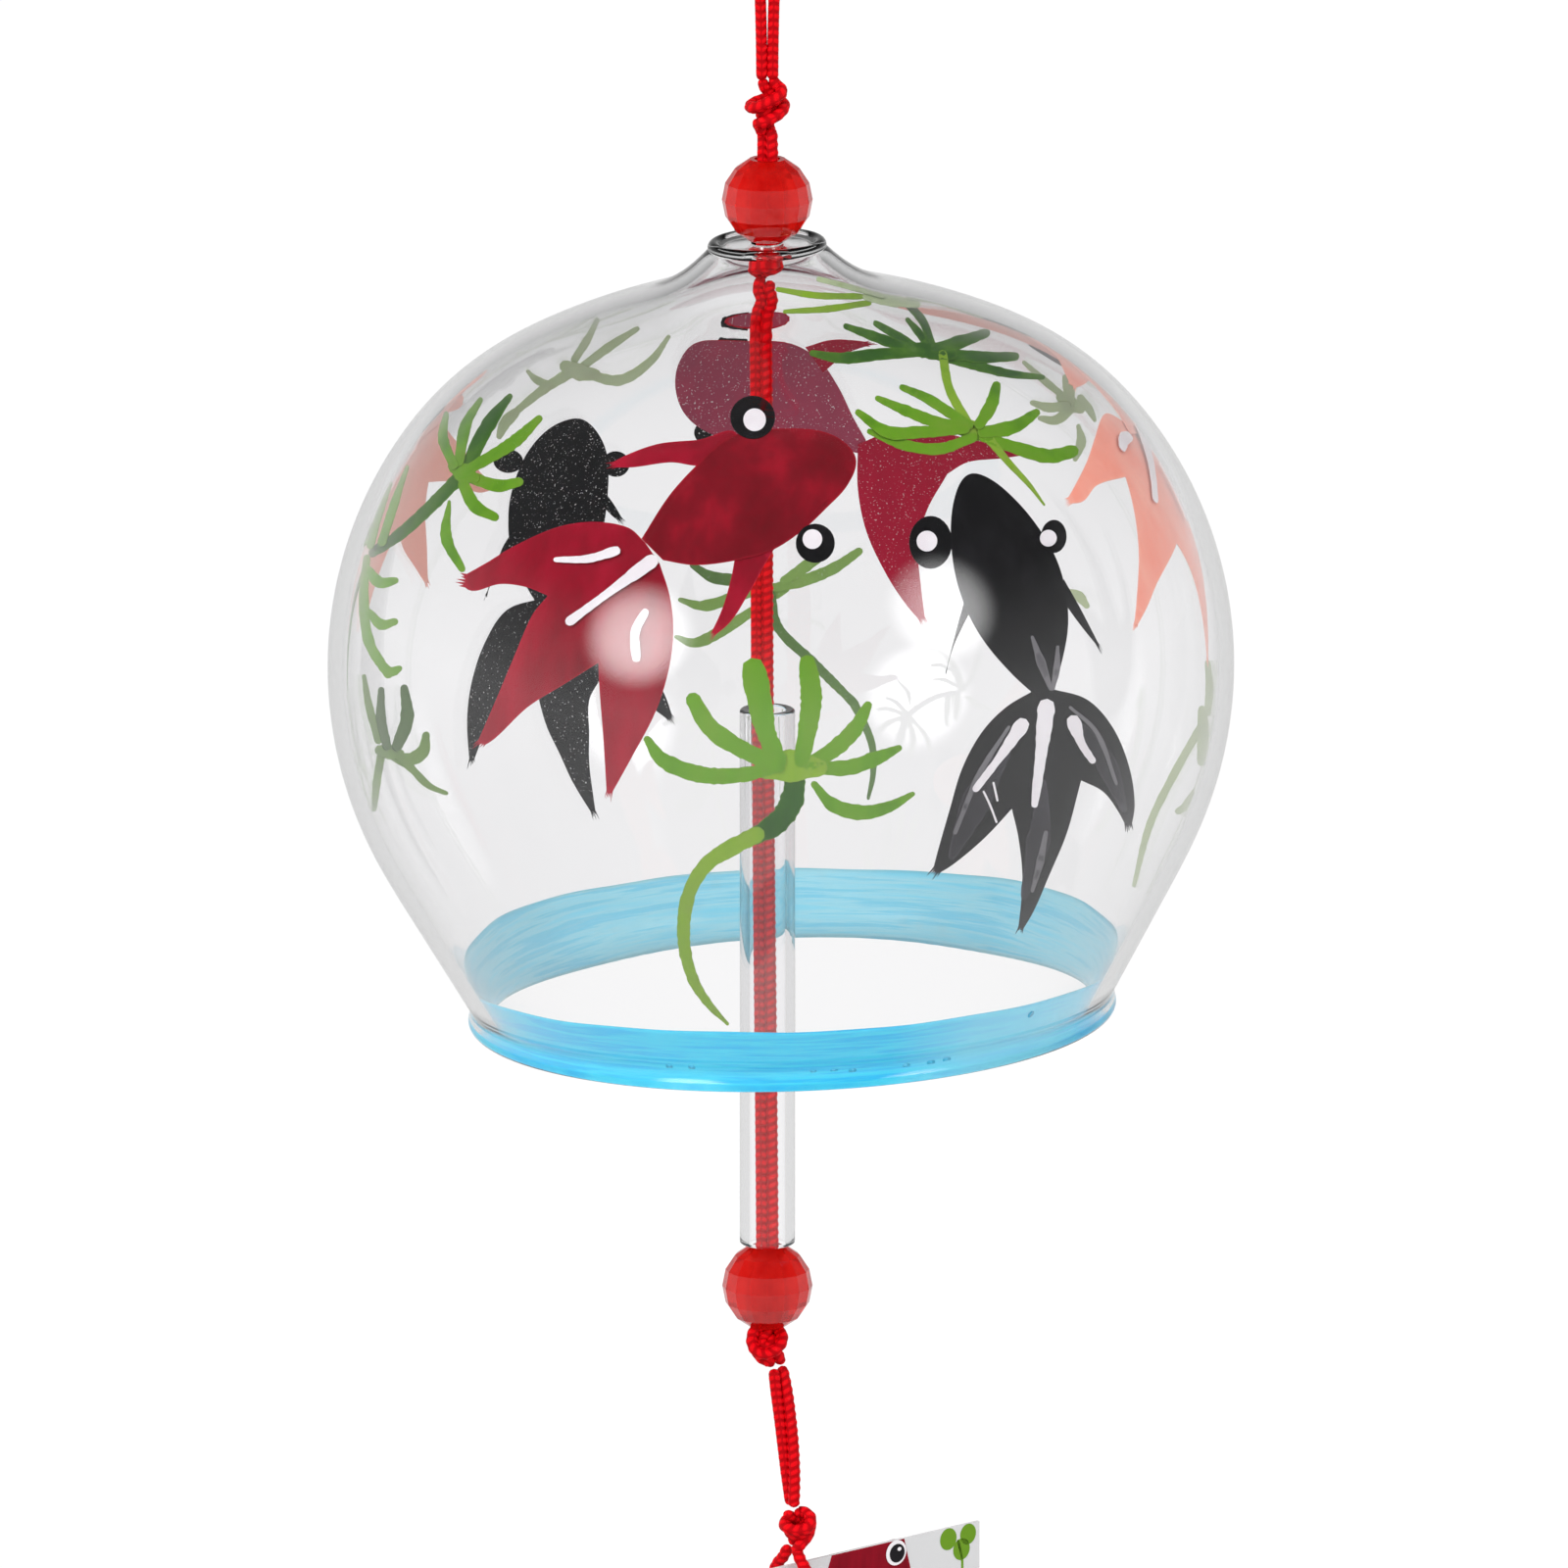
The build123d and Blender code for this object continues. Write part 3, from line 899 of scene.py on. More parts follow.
def on_glass(x, y, azimuth, far):
    """Where a line of sight meets the inside of the bell, near or far, and the way inwards."""
    start, direction = sight(x, y, azimuth)
    tiny = 0.001 * mm
    for ratio in (1 / glass_index, glass_index, 1):
        place, normal = glass_hit(start, direction)
        if place is None:
            return None
        if ratio == glass_index and not far:
            break
        direction = bent(direction, normal, ratio)
        if direction is None:
            return None
        start = place + direction * tiny
    middle = bell_equator + bell_up * (place - bell_equator).dot(bell_up)
    inward = (middle - place).normalized()
    if normal.dot(inward) < 0:
        normal = -normal
    return place, normal


# Paint: thin brushed shapes on the inside of the glass, painted in reverse, the marks on top first
paint_layer = 0.05 * mm
outline_step = 4.0
edge_reach = 0.6
fish_grid = 9.0
leaf_grid = 5.0
ragged_depth = 10.0
ragged_teeth = 5
brush = random.Random(11)
tooth_lengths = (0.35, 1.25)
tooth_foot = 0.25
tooth_half_width = 0.4
stroke_waver = 0.08
oval_corners = 28
rim_clear = 0.45
paint_gap, paint_layer_step = 0.4, 1.1
paint_sharp_angle = 40
paint_streaks = (1.0, 1.0, 0.22)
wash_layer, body_layer = 1.6, 2.4


def smooth_outline(points, closed=True, step=outline_step, scale=1.0):
    """Points along a smooth line through those given; a third value of 1 makes a corner.

    A third value of 2 makes a ragged tip, where the brush left the glass.
    """
    count = len(points)
    spots = [Vector(point[:2]) for point in points]
    sharp = [len(point) > 2 for point in points]
    if not closed:
        sharp[0] = sharp[-1] = True
    line = []
    for index in range(count if closed else count - 1):
        here, after = spots[index], spots[(index + 1) % count]
        chord = after - here
        reach = chord.length
        leaving = chord if sharp[index] else after - spots[index - 1]
        arriving = chord if sharp[(index + 1) % count] else spots[(index + 2) % count] - here
        leaving = leaving.normalized() * reach
        arriving = arriving.normalized() * reach
        for part in range(max(1, round(reach / step))):
            t = part / max(1, round(reach / step))
            line.append(
                here * (2 * t**3 - 3 * t**2 + 1)
                + leaving * (t**3 - 2 * t**2 + t)
                + after * (-2 * t**3 + 3 * t**2)
                + arriving * (t**3 - t**2)
            )
    if not closed:
        line.append(spots[-1])
    for point in points:
        if len(point) > 2 and point[2] == 2:
            line = ragged_tip(line, Vector(point[:2]), scale)
    return line


def ragged_tip(line, tip, scale=1.0):
    """The closed line with a few bristle marks where a stroke ends, in place of its sharp tip."""
    count = len(line)
    depth = ragged_depth * scale
    end = min(range(count), key=lambda index: (line[index] - tip).length)
    before = after = 1
    while before < count / 4 and (line[end - before] - tip).length < depth:
        before += 1
    while after < count / 4 and (line[(end + after) % count] - tip).length < depth:
        after += 1
    one, two = line[end - before], line[(end + after) % count]
    outward = (tip - (one + two) / 2).normalized()
    side = (two - one) / ragged_teeth
    marks = []
    for tooth in range(ragged_teeth):
        share = (tooth + 0.5) / ragged_teeth
        lean = (share - 0.5) * ragged_teeth / 2 * scale
        base = one.lerp(two, share)
        long = brush.uniform(*tooth_lengths) * depth
        foot = outward * brush.uniform(0.0, tooth_foot) * depth
        marks.append(base - side * tooth_half_width + foot)
        marks.append(base + outward * long + side.normalized() * lean)
    kept = [line[(end + after + step) % count] for step in range(count - before - after + 1)]
    return kept + marks


def stroke_outline(points, widths, step=outline_step):
    """The outline of a brush stroke along a smooth line, with a width for each of its points."""
    line = smooth_outline([point[:2] for point in points], closed=False, step=step)
    runs = [0.0]
    for one, two in zip(line, line[1:]):
        runs.append(runs[-1] + (two - one).length)
    knots = np.linspace(0, runs[-1], len(widths))
    left, right = [], []
    for index, spot in enumerate(line):
        along = line[min(index + 1, len(line) - 1)] - line[max(index - 1, 0)]
        along.normalize()
        across = Vector((-along.y, along.x))
        half = float(np.interp(runs[index], knots, widths)) / 2
        half *= 1 + stroke_waver * brush.uniform(-1, 1)
        left.append(spot + across * half)
        right.append(spot - across * half)
    caps = []
    for spot, other, width in ((line[0], line[1], widths[0]), (line[-1], line[-2], widths[-1])):
        outward = (spot - other).normalized()
        across = Vector((-outward.y, outward.x))
        turns = (pi / 4, pi / 2, 3 * pi / 4)
        caps.append([spot + (across * cos(a) + outward * sin(a)) * width / 2 for a in turns])
    return left + caps[1] + right[::-1] + caps[0]


def oval(x, y, across, up):
    """The outline of an oval, from its middle and its half widths."""
    turns = np.linspace(0, 2 * pi, oval_corners, endpoint=False)
    return [Vector((x + across * cos(turn), y + up * sin(turn))) for turn in turns]


def inside_outline(spots, outline):
    """Which spots lie inside a closed outline, and how far each is from it."""
    x, y = spots[:, 0][:, None], spots[:, 1][:, None]
    one = np.array(outline)
    two = np.roll(one, -1, axis=0)
    crosses = (one[:, 1] > y) != (two[:, 1] > y)
    rise = np.where(two[:, 1] == one[:, 1], 1e-9, two[:, 1] - one[:, 1])
    at = one[:, 0] + (y - one[:, 1]) / rise * (two[:, 0] - one[:, 0])
    inside = (crosses & (x < at)).sum(axis=1) % 2 == 1
    side = two - one
    lengths = np.maximum((side**2).sum(axis=1), 1e-9)
    share = np.clip(((x - one[:, 0]) * side[:, 0] + (y - one[:, 1]) * side[:, 1]) / lengths, 0, 1)
    gaps = np.hypot(one[:, 0] + share * side[:, 0] - x, one[:, 1] + share * side[:, 1] - y)
    return inside, gaps.min(axis=1)


def filled(outline, grid):
    """Triangles that fill an outline, and each corner's distance from its edge."""
    rim = np.array([tuple(spot) for spot in outline])
    low, high = rim.min(axis=0), rim.max(axis=0)
    columns = np.arange(low[0] + grid / 2, high[0], grid)
    rows = np.arange(low[1] + grid / 2, high[1], grid)
    spots = [
        (x + (grid / 2 if index % 2 else 0), y) for index, y in enumerate(rows) for x in columns
    ]
    if spots:
        spots = np.array(spots)
        inside, gap = inside_outline(spots, rim)
        spots = spots[inside & (gap > grid * rim_clear)]
    points = [Vector(spot) for spot in (*rim, *spots)]
    edges = [(index, (index + 1) % len(rim)) for index in range(len(rim))]
    verts, _, faces, *_ = delaunay_2d_cdt(points, edges, [], 1, 1e-5)
    _, gap = inside_outline(np.array([tuple(vert) for vert in verts]), rim)
    return verts, [tuple(face) for face in faces], gap


class Shell:
    """Closed thin shells that make up one painted piece."""

    def __init__(self, thick=paint_layer, scale=pixels_per_mm):
        self.vertices, self.faces, self.sides, self.edge, self.materials = [], [], [], [], []
        self.thick, self.scale = thick, scale

    def add(self, outline, place, material, layer=0, grid=fish_grid):
        """Fill an outline and lift it off its surface: place gives a point and the way off."""
        spots, faces, gap = filled(outline, grid)
        hits = [place(spot) for spot in spots]
        near = self.thick * (paint_gap + paint_layer_step * layer)
        self.materials += [slot for slot in dict.fromkeys(material) if slot not in self.materials]
        front, back = (self.materials.index(slot) for slot in material)
        start = len(self.vertices)
        numbers = {}
        for index, hit in enumerate(hits):
            if hit is None:
                continue
            numbers[index] = start + 2 * len(numbers)
            spot, away = hit
            self.vertices += [tuple(spot + away * near), tuple(spot + away * (near + self.thick))]
            self.edge += [min(1.0, gap[index] / self.scale / edge_reach)] * 2
        borders = {}
        for face in faces:
            if any(corner not in numbers for corner in face):
                continue
            corners = [numbers[corner] for corner in face]
            one, two, three = (Vector(self.vertices[corner]) for corner in corners)
            if (two - one).cross(three - one).dot(hits[face[0]][1]) > 0:
                corners.reverse()
            self.faces += [tuple(corners), tuple(corner + 1 for corner in reversed(corners))]
            self.sides += [front, back]
            for first, second in zip(corners, corners[1:] + corners[:1]):
                borders[(first, second)] = True
        for first, second in borders:
            if (second, first) not in borders:
                self.faces.append((second, first, first + 1, second + 1))
                self.sides.append(front)

    def finish(self, name, body, slot):
        """The shells as one piece that rides on a body."""
        made = new_object(name, self.vertices, self.faces, self.materials)
        new_piece(made, body, slot, sides=self.sides, sharp=paint_sharp_angle, edge=self.edge)


def seen_on_glass(azimuth=0, far=False):
    """Places points of the photograph on the inside of the glass, seen from an azimuth."""
    return lambda spot: on_glass(spot[0], spot[1], azimuth, far)


def make_paint(name, deep, main, light, pale, speckled=0.0, clear=0.0):
    """Glass paint: its glossy side against the glass, paler along its edges as a painted reflection, and its matt side
    to the hollow.
    """
    sides = []
    for side in ("glass", "hollow"):
        material, tree = new_material(f"{name}_{side}_side")
        place = object_place(tree)
        brushed = node(tree, "Mapping", {"Vector": place, "Scale": paint_streaks}).outputs[0]
        flow = noise(tree, brushed, 260, 4, Roughness=0.6)
        colour = ramp(tree, flow, (0.25, deep), (0.5, main), (0.8, light))
        if side == "glass":
            # Painted reflection: the glass side turns paler towards each stroke's edge.
            painted_edge_glint = ramp(tree, attribute(tree, "edge"), (0.0, grey(0.55)), (0.25, grey(0.0)))
            colour = mix_colour(tree, painted_edge_glint, colour, light)
            rough = 0.3
        else:
            specks = noise(tree, place, 5600, 1)
            dust = ramp(tree, specks, (0.67, grey(0.0)), (0.73, grey(speckled)))
            colour = mix_colour(tree, 0.55, colour, pale)
            colour = mix_colour(tree, dust, colour, grey(0.85))
            rough = 0.6
        inputs = {
            "Base Color": colour,
            "Roughness": rough,
            "Specular IOR Level": 0.08,
            "Normal": bump(tree, flow, 0.3, 0.02 * mm),
        }
        surface = node(tree, "BsdfPrincipled", inputs).outputs[0]
        if clear:
            surface = mix_shader(tree, clear, surface, clear_shader(tree, colour))
        show(tree, surface)
        sides.append(material)
    return sides


# Paints: deep, main and light colours, the hollow side's colour, its dust, and how clear they are
red_paint = make_paint(
    "crimson",
    (0.125, 0.0006, 0.005), (0.2, 0.0008, 0.009), (0.38, 0.003, 0.018), (0.42, 0.1, 0.17), 0.7,
)
red_fin_paint = make_paint(
    "crimson_fins",
    (0.17, 0.0008, 0.008), (0.28, 0.001, 0.015), (0.44, 0.004, 0.028), (0.42, 0.015, 0.05), 0.5,
)
black_paint = make_paint(
    "black",
    (0.003, 0.003, 0.004), (0.005, 0.0048, 0.006), (0.015, 0.014, 0.017), (0.02, 0.021, 0.023),
    0.8,
)
coral_paint = make_paint(
    "coral", (0.97, 0.3, 0.21), (0.98, 0.37, 0.28), (0.99, 0.47, 0.37), (0.97, 0.55, 0.48), 0.5
)
green_paint = make_paint(
    "green",
    (0.07, 0.22, 0.006), (0.14, 0.35, 0.012), (0.19, 0.35, 0.03), (0.34, 0.46, 0.2), 0.2, 0.12,
)
dark_green_paint = make_paint(
    "dark_green",
    (0.012, 0.075, 0.006), (0.035, 0.13, 0.009), (0.1, 0.23, 0.02), (0.2, 0.3, 0.13), 0.2, 0.08,
)
light_green_paint = make_paint(
    "light_green",
    (0.18, 0.38, 0.018), (0.28, 0.48, 0.03), (0.28, 0.42, 0.07), (0.4, 0.5, 0.22), 0.2, 0.2,
)
pale_green_paint = make_paint(
    "pale_green",
    (0.42, 0.55, 0.26), (0.55, 0.66, 0.38), (0.66, 0.74, 0.52), (0.7, 0.77, 0.58), 0.2, 0.3,
)
white_paint = make_paint(
    "white", (0.78, 0.72, 0.76), (0.84, 0.8, 0.83), (0.9, 0.88, 0.9), (0.9, 0.88, 0.9)
)
wash_paint = make_paint(
    "grey_wash",
    (0.012, 0.011, 0.014), (0.035, 0.032, 0.04), (0.09, 0.085, 0.1), (0.06, 0.06, 0.065),
    clear=0.1,
)
# Grey streaks of painted sheen: reflection lines along the black fish's strokes.
sheen_paint = make_paint(
    "painted_sheen",
    (0.06, 0.058, 0.07), (0.16, 0.155, 0.17), (0.34, 0.33, 0.35), (0.1, 0.1, 0.1), clear=0.3,
)


def make_fish(
    name, paint, shapes, fins=None, whites=(), sheen_streaks=(), washes=(), eyes=(), azimuth=0, far=False
):
    """One goldfish: white marks against the glass, then painted sheen streaks, eyes, body, fins and tail over them."""
    shell = Shell()
    place = seen_on_glass(azimuth, far)
    for lines, sides, layer in (
        (whites, white_paint, 0), (sheen_streaks, sheen_paint, 1), (washes, wash_paint, wash_layer)
    ):
        for line, widths in lines:
            shell.add(stroke_outline(line, widths), place, sides, layer, leaf_grid)
    for x, y, across, up, white_x, white_y, white_radius in eyes:
        white = oval(white_x, white_y, white_radius, white_radius)
        shell.add(white, place, white_paint, 0, leaf_grid)
        shell.add(oval(x, y, across, up), place, black_paint, 1, leaf_grid)
    for number, shape in enumerate(shapes):
        sides = fins if fins and number else paint
        shell.add(smooth_outline(shape), place, sides, body_layer + number)
    shell.finish(name, "bell", "glass")


# Fish: outlines and marks as the view at their azimuth shows them, in pixels
make_fish(
    "front_red_fish",
    paint=red_paint,
    fins=red_fin_paint,
    shapes=(
        ((874, 469), (862, 450), (836, 438), (797, 436), (759, 440), (740, 447), (715, 469),
         (683, 504), (654, 549, 1), (676, 571, 1), (708, 576), (746, 572), (785, 562), (817, 542),
         (844, 517), (865, 494)),
        ((752, 442), (712, 447), (672, 451), (640, 462), (616, 475, 2), (645, 475), (683, 470),
         (722, 472)),
        ((750, 566, 1), (745, 592), (736, 622), (721, 654, 2), (745, 634), (764, 604), (780, 575),
         (792, 556, 1)),
        ((657, 552, 1), (640, 537), (606, 531), (568, 536), (524, 555), (494, 573), (464, 590, 2),
         (478, 602), (507, 595), (534, 598), (557, 607, 1), (541, 627), (523, 668), (502, 718),
         (481, 766, 2), (500, 756), (536, 722), (574, 698), (609, 676, 1), (610, 702), (614, 753),
         (618, 819, 2), (643, 774), (668, 726), (682, 680), (686, 640), (682, 606), (672, 574, 1)),
    ),
    whites=(
        (((567, 571), (600, 570), (628, 562)), (5, 8, 10)),
        (((581, 634), (619, 606), (664, 573)), (9, 8, 15)),
        (((658, 625), (648, 645), (649, 671)), (8, 9, 9)),
    ),
    eyes=((768, 425, 23, 22, 770, 428, 11.5), (832, 554, 20, 20, 829, 550, 10)),
)
make_fish(
    "front_black_fish",
    paint=black_paint,
    shapes=(
        ((989, 483), (976, 503), (971, 542), (976, 587), (989, 626), (1008, 658), (1034, 688),
         (1058, 710, 1), (1074, 708, 1), (1084, 678), (1091, 640), (1089, 605), (1080, 572),
         (1063, 541), (1038, 510), (1010, 487)),
        ((1058, 704, 1), (1028, 722), (1003, 748), (983, 785), (970, 828), (958, 870),
         (951, 897, 2), (974, 883), (1006, 856), (1034, 826, 1), (1041, 857), (1045, 900),
         (1040, 958, 2), (1056, 932), (1072, 895), (1090, 852), (1105, 797, 1), (1128, 809),
         (1144, 830), (1155, 852, 2), (1160, 822), (1154, 782), (1137, 742), (1111, 714),
         (1075, 703, 1)),
        ((988, 604, 1), (978, 640), (965, 692, 2), (974, 660), (992, 622, 1)),
        ((1088, 590, 1), (1106, 622), (1128, 665, 2), (1106, 638), (1090, 616, 1)),
    ),
    whites=(
        (((1043, 740), (1021, 772), (996, 805)), (15, 8, 7)),
        (((1068, 722), (1063, 766), (1056, 821)), (18, 12, 7)),
        (((1096, 737), (1104, 759), (1115, 776)), (15, 8, 7)),
        (((1004, 808), (1011, 823), (1017, 839)), (2, 2, 2)),
        (((1014, 799), (1016, 808), (1018, 817)), (2, 2, 2)),
    ),
    washes=(
        (((1026, 768), (1000, 812), (972, 874)), (12, 30, 8)),
        (((1064, 800), (1062, 850), (1046, 915)), (10, 24, 7)),
        (((1106, 744), (1130, 780), (1148, 826)), (10, 22, 7)),
    ),
    # Painted sheen: grey reflection lines along the body and tail.
    sheen_streaks=(
        (((1054, 650), (1063, 676), (1073, 703)), (3, 9, 4)),
        (((1080, 660), (1079, 682), (1075, 703)), (3, 7, 4)),
        (((1093, 722), (1120, 748), (1140, 800)), (3, 5, 3)),
        (((1030, 742), (1000, 790), (975, 850)), (3, 6, 4)),
        (((1068, 850), (1062, 880), (1054, 910)), (4, 8, 3)),
    ),
    eyes=((950, 553, 22, 27, 946, 552, 10.5), (1076, 547, 13, 17, 1070, 549, 8.5)),
)
make_fish(
    "side_coral_fish",
    paint=coral_paint,
    azimuth=60,
    shapes=(
        ((1047, 340), (1018, 345), (985, 364), (955, 398), (935, 442), (922, 485), (912, 505, 1),
         (962, 512, 1), (992, 486), (1028, 448), (1052, 406), (1060, 366)),
        ((958, 392, 1), (935, 412), (898, 428), (871, 444, 2), (898, 446), (935, 446, 1)),
        ((925, 492, 1), (900, 478), (872, 480), (830, 494), (790, 511), (757, 525), (722, 541, 2),
         (748, 545), (784, 535), (843, 538, 1), (824, 573), (801, 611), (775, 648), (751, 686, 2),
         (782, 668), (818, 646), (888, 619, 1), (901, 645), (906, 675), (903, 752, 2), (925, 695),
         (950, 640), (969, 575), (975, 527), (962, 492, 1)),
    ),
    whites=(
        (((866, 512), (882, 506), (900, 506)), (10, 13, 10)),
        (((944, 508), (912, 536), (873, 570)), (17, 12, 9)),
        (((938, 545), (938, 572), (934, 602)), (6, 7, 6)),
    ),
    eyes=((972, 372, 19, 22, 968, 370, 9), (1058, 424, 16, 20, 1055, 421, 8)),
)
make_fish(
    "back_red_fish",
    paint=red_paint,
    fins=red_fin_paint,
    far=True,
    shapes=(
        ((738, 343), (708, 349), (692, 370), (689, 396), (699, 422), (722, 440), (760, 449),
         (805, 452), (848, 455), (878, 462, 1), (884, 448, 1), (871, 425), (856, 394), (836, 366),
         (808, 349), (772, 342)),
        ((822, 352, 1), (850, 344), (895, 348, 2), (866, 358), (840, 378, 1)),
        ((876, 452, 1), (906, 440), (944, 436), (989, 446), (1024, 453), (1060, 461, 2),
         (1024, 466), (989, 470), (968, 482, 1), (946, 522), (938, 562), (941, 600), (946, 640, 2),
         (926, 617), (905, 585), (885, 542), (876, 498)),
    ),
    whites=(
        (((905, 462), (935, 458), (965, 460)), (8, 9, 5)),
        (((898, 480), (908, 520), (922, 560)), (13, 9, 7)),
        (((920, 478), (932, 500), (936, 520)), (9, 8, 6)),
    ),
    eyes=((748, 346, 15, 10, 748, 346, 6), (722, 441, 14, 12, 722, 441, 7)),
)
make_fish(
    "back_black_fish",
    paint=black_paint,
    far=True,
    shapes=(
        ((576, 428), (555, 440), (536, 463), (524, 491), (518, 520), (520, 560), (532, 590),
         (550, 622, 1), (572, 622, 1), (596, 590), (612, 550), (619, 506), (619, 466), (610, 442),
         (594, 427)),
        ((552, 610, 1), (516, 622), (494, 654), (480, 695), (475, 735), (478, 786, 2), (494, 748),
         (520, 716), (545, 700, 1), (556, 740), (570, 770), (584, 800), (608, 839, 2), (604, 812),
         (600, 779), (600, 749), (600, 715), (612, 692, 1), (640, 702), (664, 722), (688, 740, 2),
         (676, 706), (650, 666), (612, 632), (574, 612, 1)),
        ((522, 540, 1), (510, 560), (492, 613, 2), (504, 584), (524, 562, 1)),
        ((614, 498, 1), (626, 515), (638, 536, 2), (622, 524), (612, 512, 1)),
    ),
    whites=(
        (((548, 636), (522, 668), (500, 712)), (14, 9, 7)),
        (((566, 640), (576, 690), (584, 740)), (16, 11, 7)),
        (((596, 652), (616, 668), (634, 684)), (14, 8, 6)),
    ),
    eyes=((518, 470, 15, 12, 515, 470, 7), (628, 473, 14, 13, 631, 473, 7)),
)
make_fish(
    "back_coral_fish",
    paint=coral_paint,
    azimuth=240,
    shapes=(
        ((956, 436), (932, 440), (912, 456), (897, 482), (888, 508), (881, 528), (880, 545, 1),
         (938, 545, 1), (958, 520), (973, 494), (979, 466), (972, 445)),
        ((898, 484, 1), (868, 498), (842, 518, 2), (866, 516), (890, 512, 1)),
        ((890, 530, 1), (866, 536), (820, 560), (760, 596), (716, 628), (676, 655, 2), (706, 656),
         (752, 636), (818, 622, 1), (802, 660), (780, 705), (765, 758, 2), (800, 726), (832, 700),
         (862, 668, 1), (888, 700), (912, 732), (938, 766, 2), (955, 720), (966, 660), (966, 600),
         (950, 552), (932, 530, 1)),
    ),
    whites=(
        (((850, 566), (826, 580), (800, 596)), (12, 10, 6)),
        (((878, 572), (862, 610), (838, 650)), (16, 11, 7)),
        (((916, 572), (924, 610), (926, 645)), (12, 9, 6)),
    ),
    eyes=((904, 468, 15, 18, 901, 466, 8), (986, 492, 14, 17, 985, 490, 7)),
)


def make_weed(name, strokes=(), light=(), dark=(), faded=(), far=False):
    """A spray of water weed, one stroke a leaf."""
    shell = Shell()
    place = seen_on_glass(0, far)
    for lines, paint, layer in (
        (strokes, green_paint, 1), (light, light_green_paint, 3), (faded, pale_green_paint, 1),
        (dark, dark_green_paint, 5),
    ):
        for number, (line, widths) in enumerate(lines):
            shell.add(stroke_outline(line, widths), place, paint, layer + number % 4, leaf_grid)
    shell.finish(name, "bell", "glass")


# Water weed: strokes as points and widths, in pixels
make_weed(
    "front_weed",
    strokes=(
        (((769, 684), (776, 720), (782, 748), (794, 776)), (26, 26, 20, 18)),
        (((824, 677), (828, 712), (824, 745), (818, 776)), (18, 22, 20, 16)),
        (((886, 720), (872, 745), (850, 766), (826, 780)), (9, 17, 17, 14)),
        (((918, 764), (896, 774), (866, 784), (830, 784)), (7, 16, 16, 14)),
        (((707, 714), (724, 742), (752, 762), (794, 782)), (15, 19, 18, 15)),
        (((660, 755), (676, 776), (716, 791), (758, 791), (792, 783)), (8, 17, 17, 15, 12)),
        (((831, 801), (850, 822), (880, 830), (908, 824), (932, 811)), (7, 14, 16, 12, 5)),
    ),
    light=(
        (((780, 784), (810, 782), (836, 784)), (22, 34, 18)),
        (
            ((772, 853), (745, 867), (720, 884), (702, 915), (697, 960), (706, 1000), (722, 1026),
             (742, 1047)),
            (17, 17, 15, 14, 13, 12, 9, 3),
        ),
    ),
    dark=((((812, 790), (808, 818), (794, 840), (766, 857)), (20, 24, 23, 16)),),
)
make_weed(
    "upper_right_weed",
    faded=(
        (((836, 284), (870, 292), (902, 300)), (5, 6, 5)),
        (((1006, 311), (970, 302), (930, 298)), (5, 8, 8)),
        (((886, 300), (912, 302), (936, 306)), (9, 17, 10)),
    ),
    light=(
        (((794, 294), (835, 300), (880, 300)), (5, 7, 6)),
        (((801, 316), (845, 313), (888, 306)), (4, 7, 6)),
        (((963, 358), (970, 394), (990, 430)), (9, 9, 9)),
        (((978, 432), (995, 436), (1012, 442)), (14, 20, 12)),
        (((1010, 446), (1030, 470), (1052, 494), (1067, 514)), (9, 7, 5, 2)),
    ),
    strokes=(
        (((876, 420), (906, 440), (940, 440), (985, 437)), (7, 13, 12, 10)),
        (((896, 405), (926, 418), (958, 430), (986, 434)), (6, 11, 12, 9)),
        (((921, 393), (946, 404), (968, 418), (990, 432)), (6, 10, 11, 9)),
        (((888, 438), (924, 452), (960, 456), (994, 444)), (6, 11, 12, 10)),
        (((1017, 393), (1012, 412), (1000, 432)), (10, 14, 11)),
        (((1058, 420), (1036, 434), (1004, 440)), (9, 15, 12)),
        (((1096, 459), (1072, 464), (1040, 456), (1004, 444)), (13, 15, 12, 10)),
    ),
    dark=(
        (((829, 357), (858, 362), (898, 358), (940, 356)), (6, 12, 12, 9)),
        (((864, 329), (890, 338), (918, 348), (942, 354)), (6, 10, 11, 8)),
        (((895, 325), (914, 336), (940, 352)), (6, 9, 8)),
        (((928, 320), (938, 332), (950, 348)), (5, 8, 8)),
        (((1008, 335), (984, 344), (956, 352)), (9, 14, 11)),
        (((1038, 359), (1004, 360), (962, 356)), (9, 12, 11)),
        (((1067, 380), (1030, 376), (990, 366), (958, 358)), (5, 9, 10, 9)),
        (((930, 303), (944, 322), (952, 346)), (8, 9, 9)),
        (((928, 352), (950, 354), (972, 358)), (12, 18, 12)),
    ),
)
make_weed(
    "left_weed",
    strokes=(
        (((454, 421), (451, 446), (462, 474)), (5, 11, 9)),
        (((489, 406), (474, 432), (467, 470)), (5, 12, 10)),
        (((549, 425), (522, 450), (486, 472), (472, 480)), (7, 13, 12, 10)),
        (((528, 490), (506, 494), (480, 486)), (9, 13, 12)),
        (((504, 527), (484, 516), (472, 494)), (9, 14, 11)),
        (((457, 511), (454, 548), (470, 580)), (3, 12, 7)),
        (((462, 474), (472, 482), (482, 486)), (14, 20, 12)),
        (((369, 568), (367, 610), (373, 655), (393, 688)), (8, 10, 11, 9)),
        (((374, 580), (386, 594), (402, 592)), (7, 13, 7)),
        (((375, 624), (387, 637), (401, 634)), (6, 12, 7)),
        (((388, 680), (396, 686), (405, 682)), (10, 11, 6)),
        (((386, 552), (396, 520), (411, 474)), (9, 9, 4)),
        (((376, 556), (384, 526), (396, 492)), (8, 8, 4)),
        (((366, 552), (364, 540), (366, 528)), (8, 8, 5)),
    ),
    dark=(
        (((518, 401), (500, 424), (484, 452), (474, 478)), (6, 14, 15, 11)),
        (((464, 486), (430, 520), (400, 546), (374, 562)), (13, 13, 12, 10)),
        (((366, 570), (350, 616), (342, 668), (340, 705)), (4, 4, 4, 2)),
    ),
)
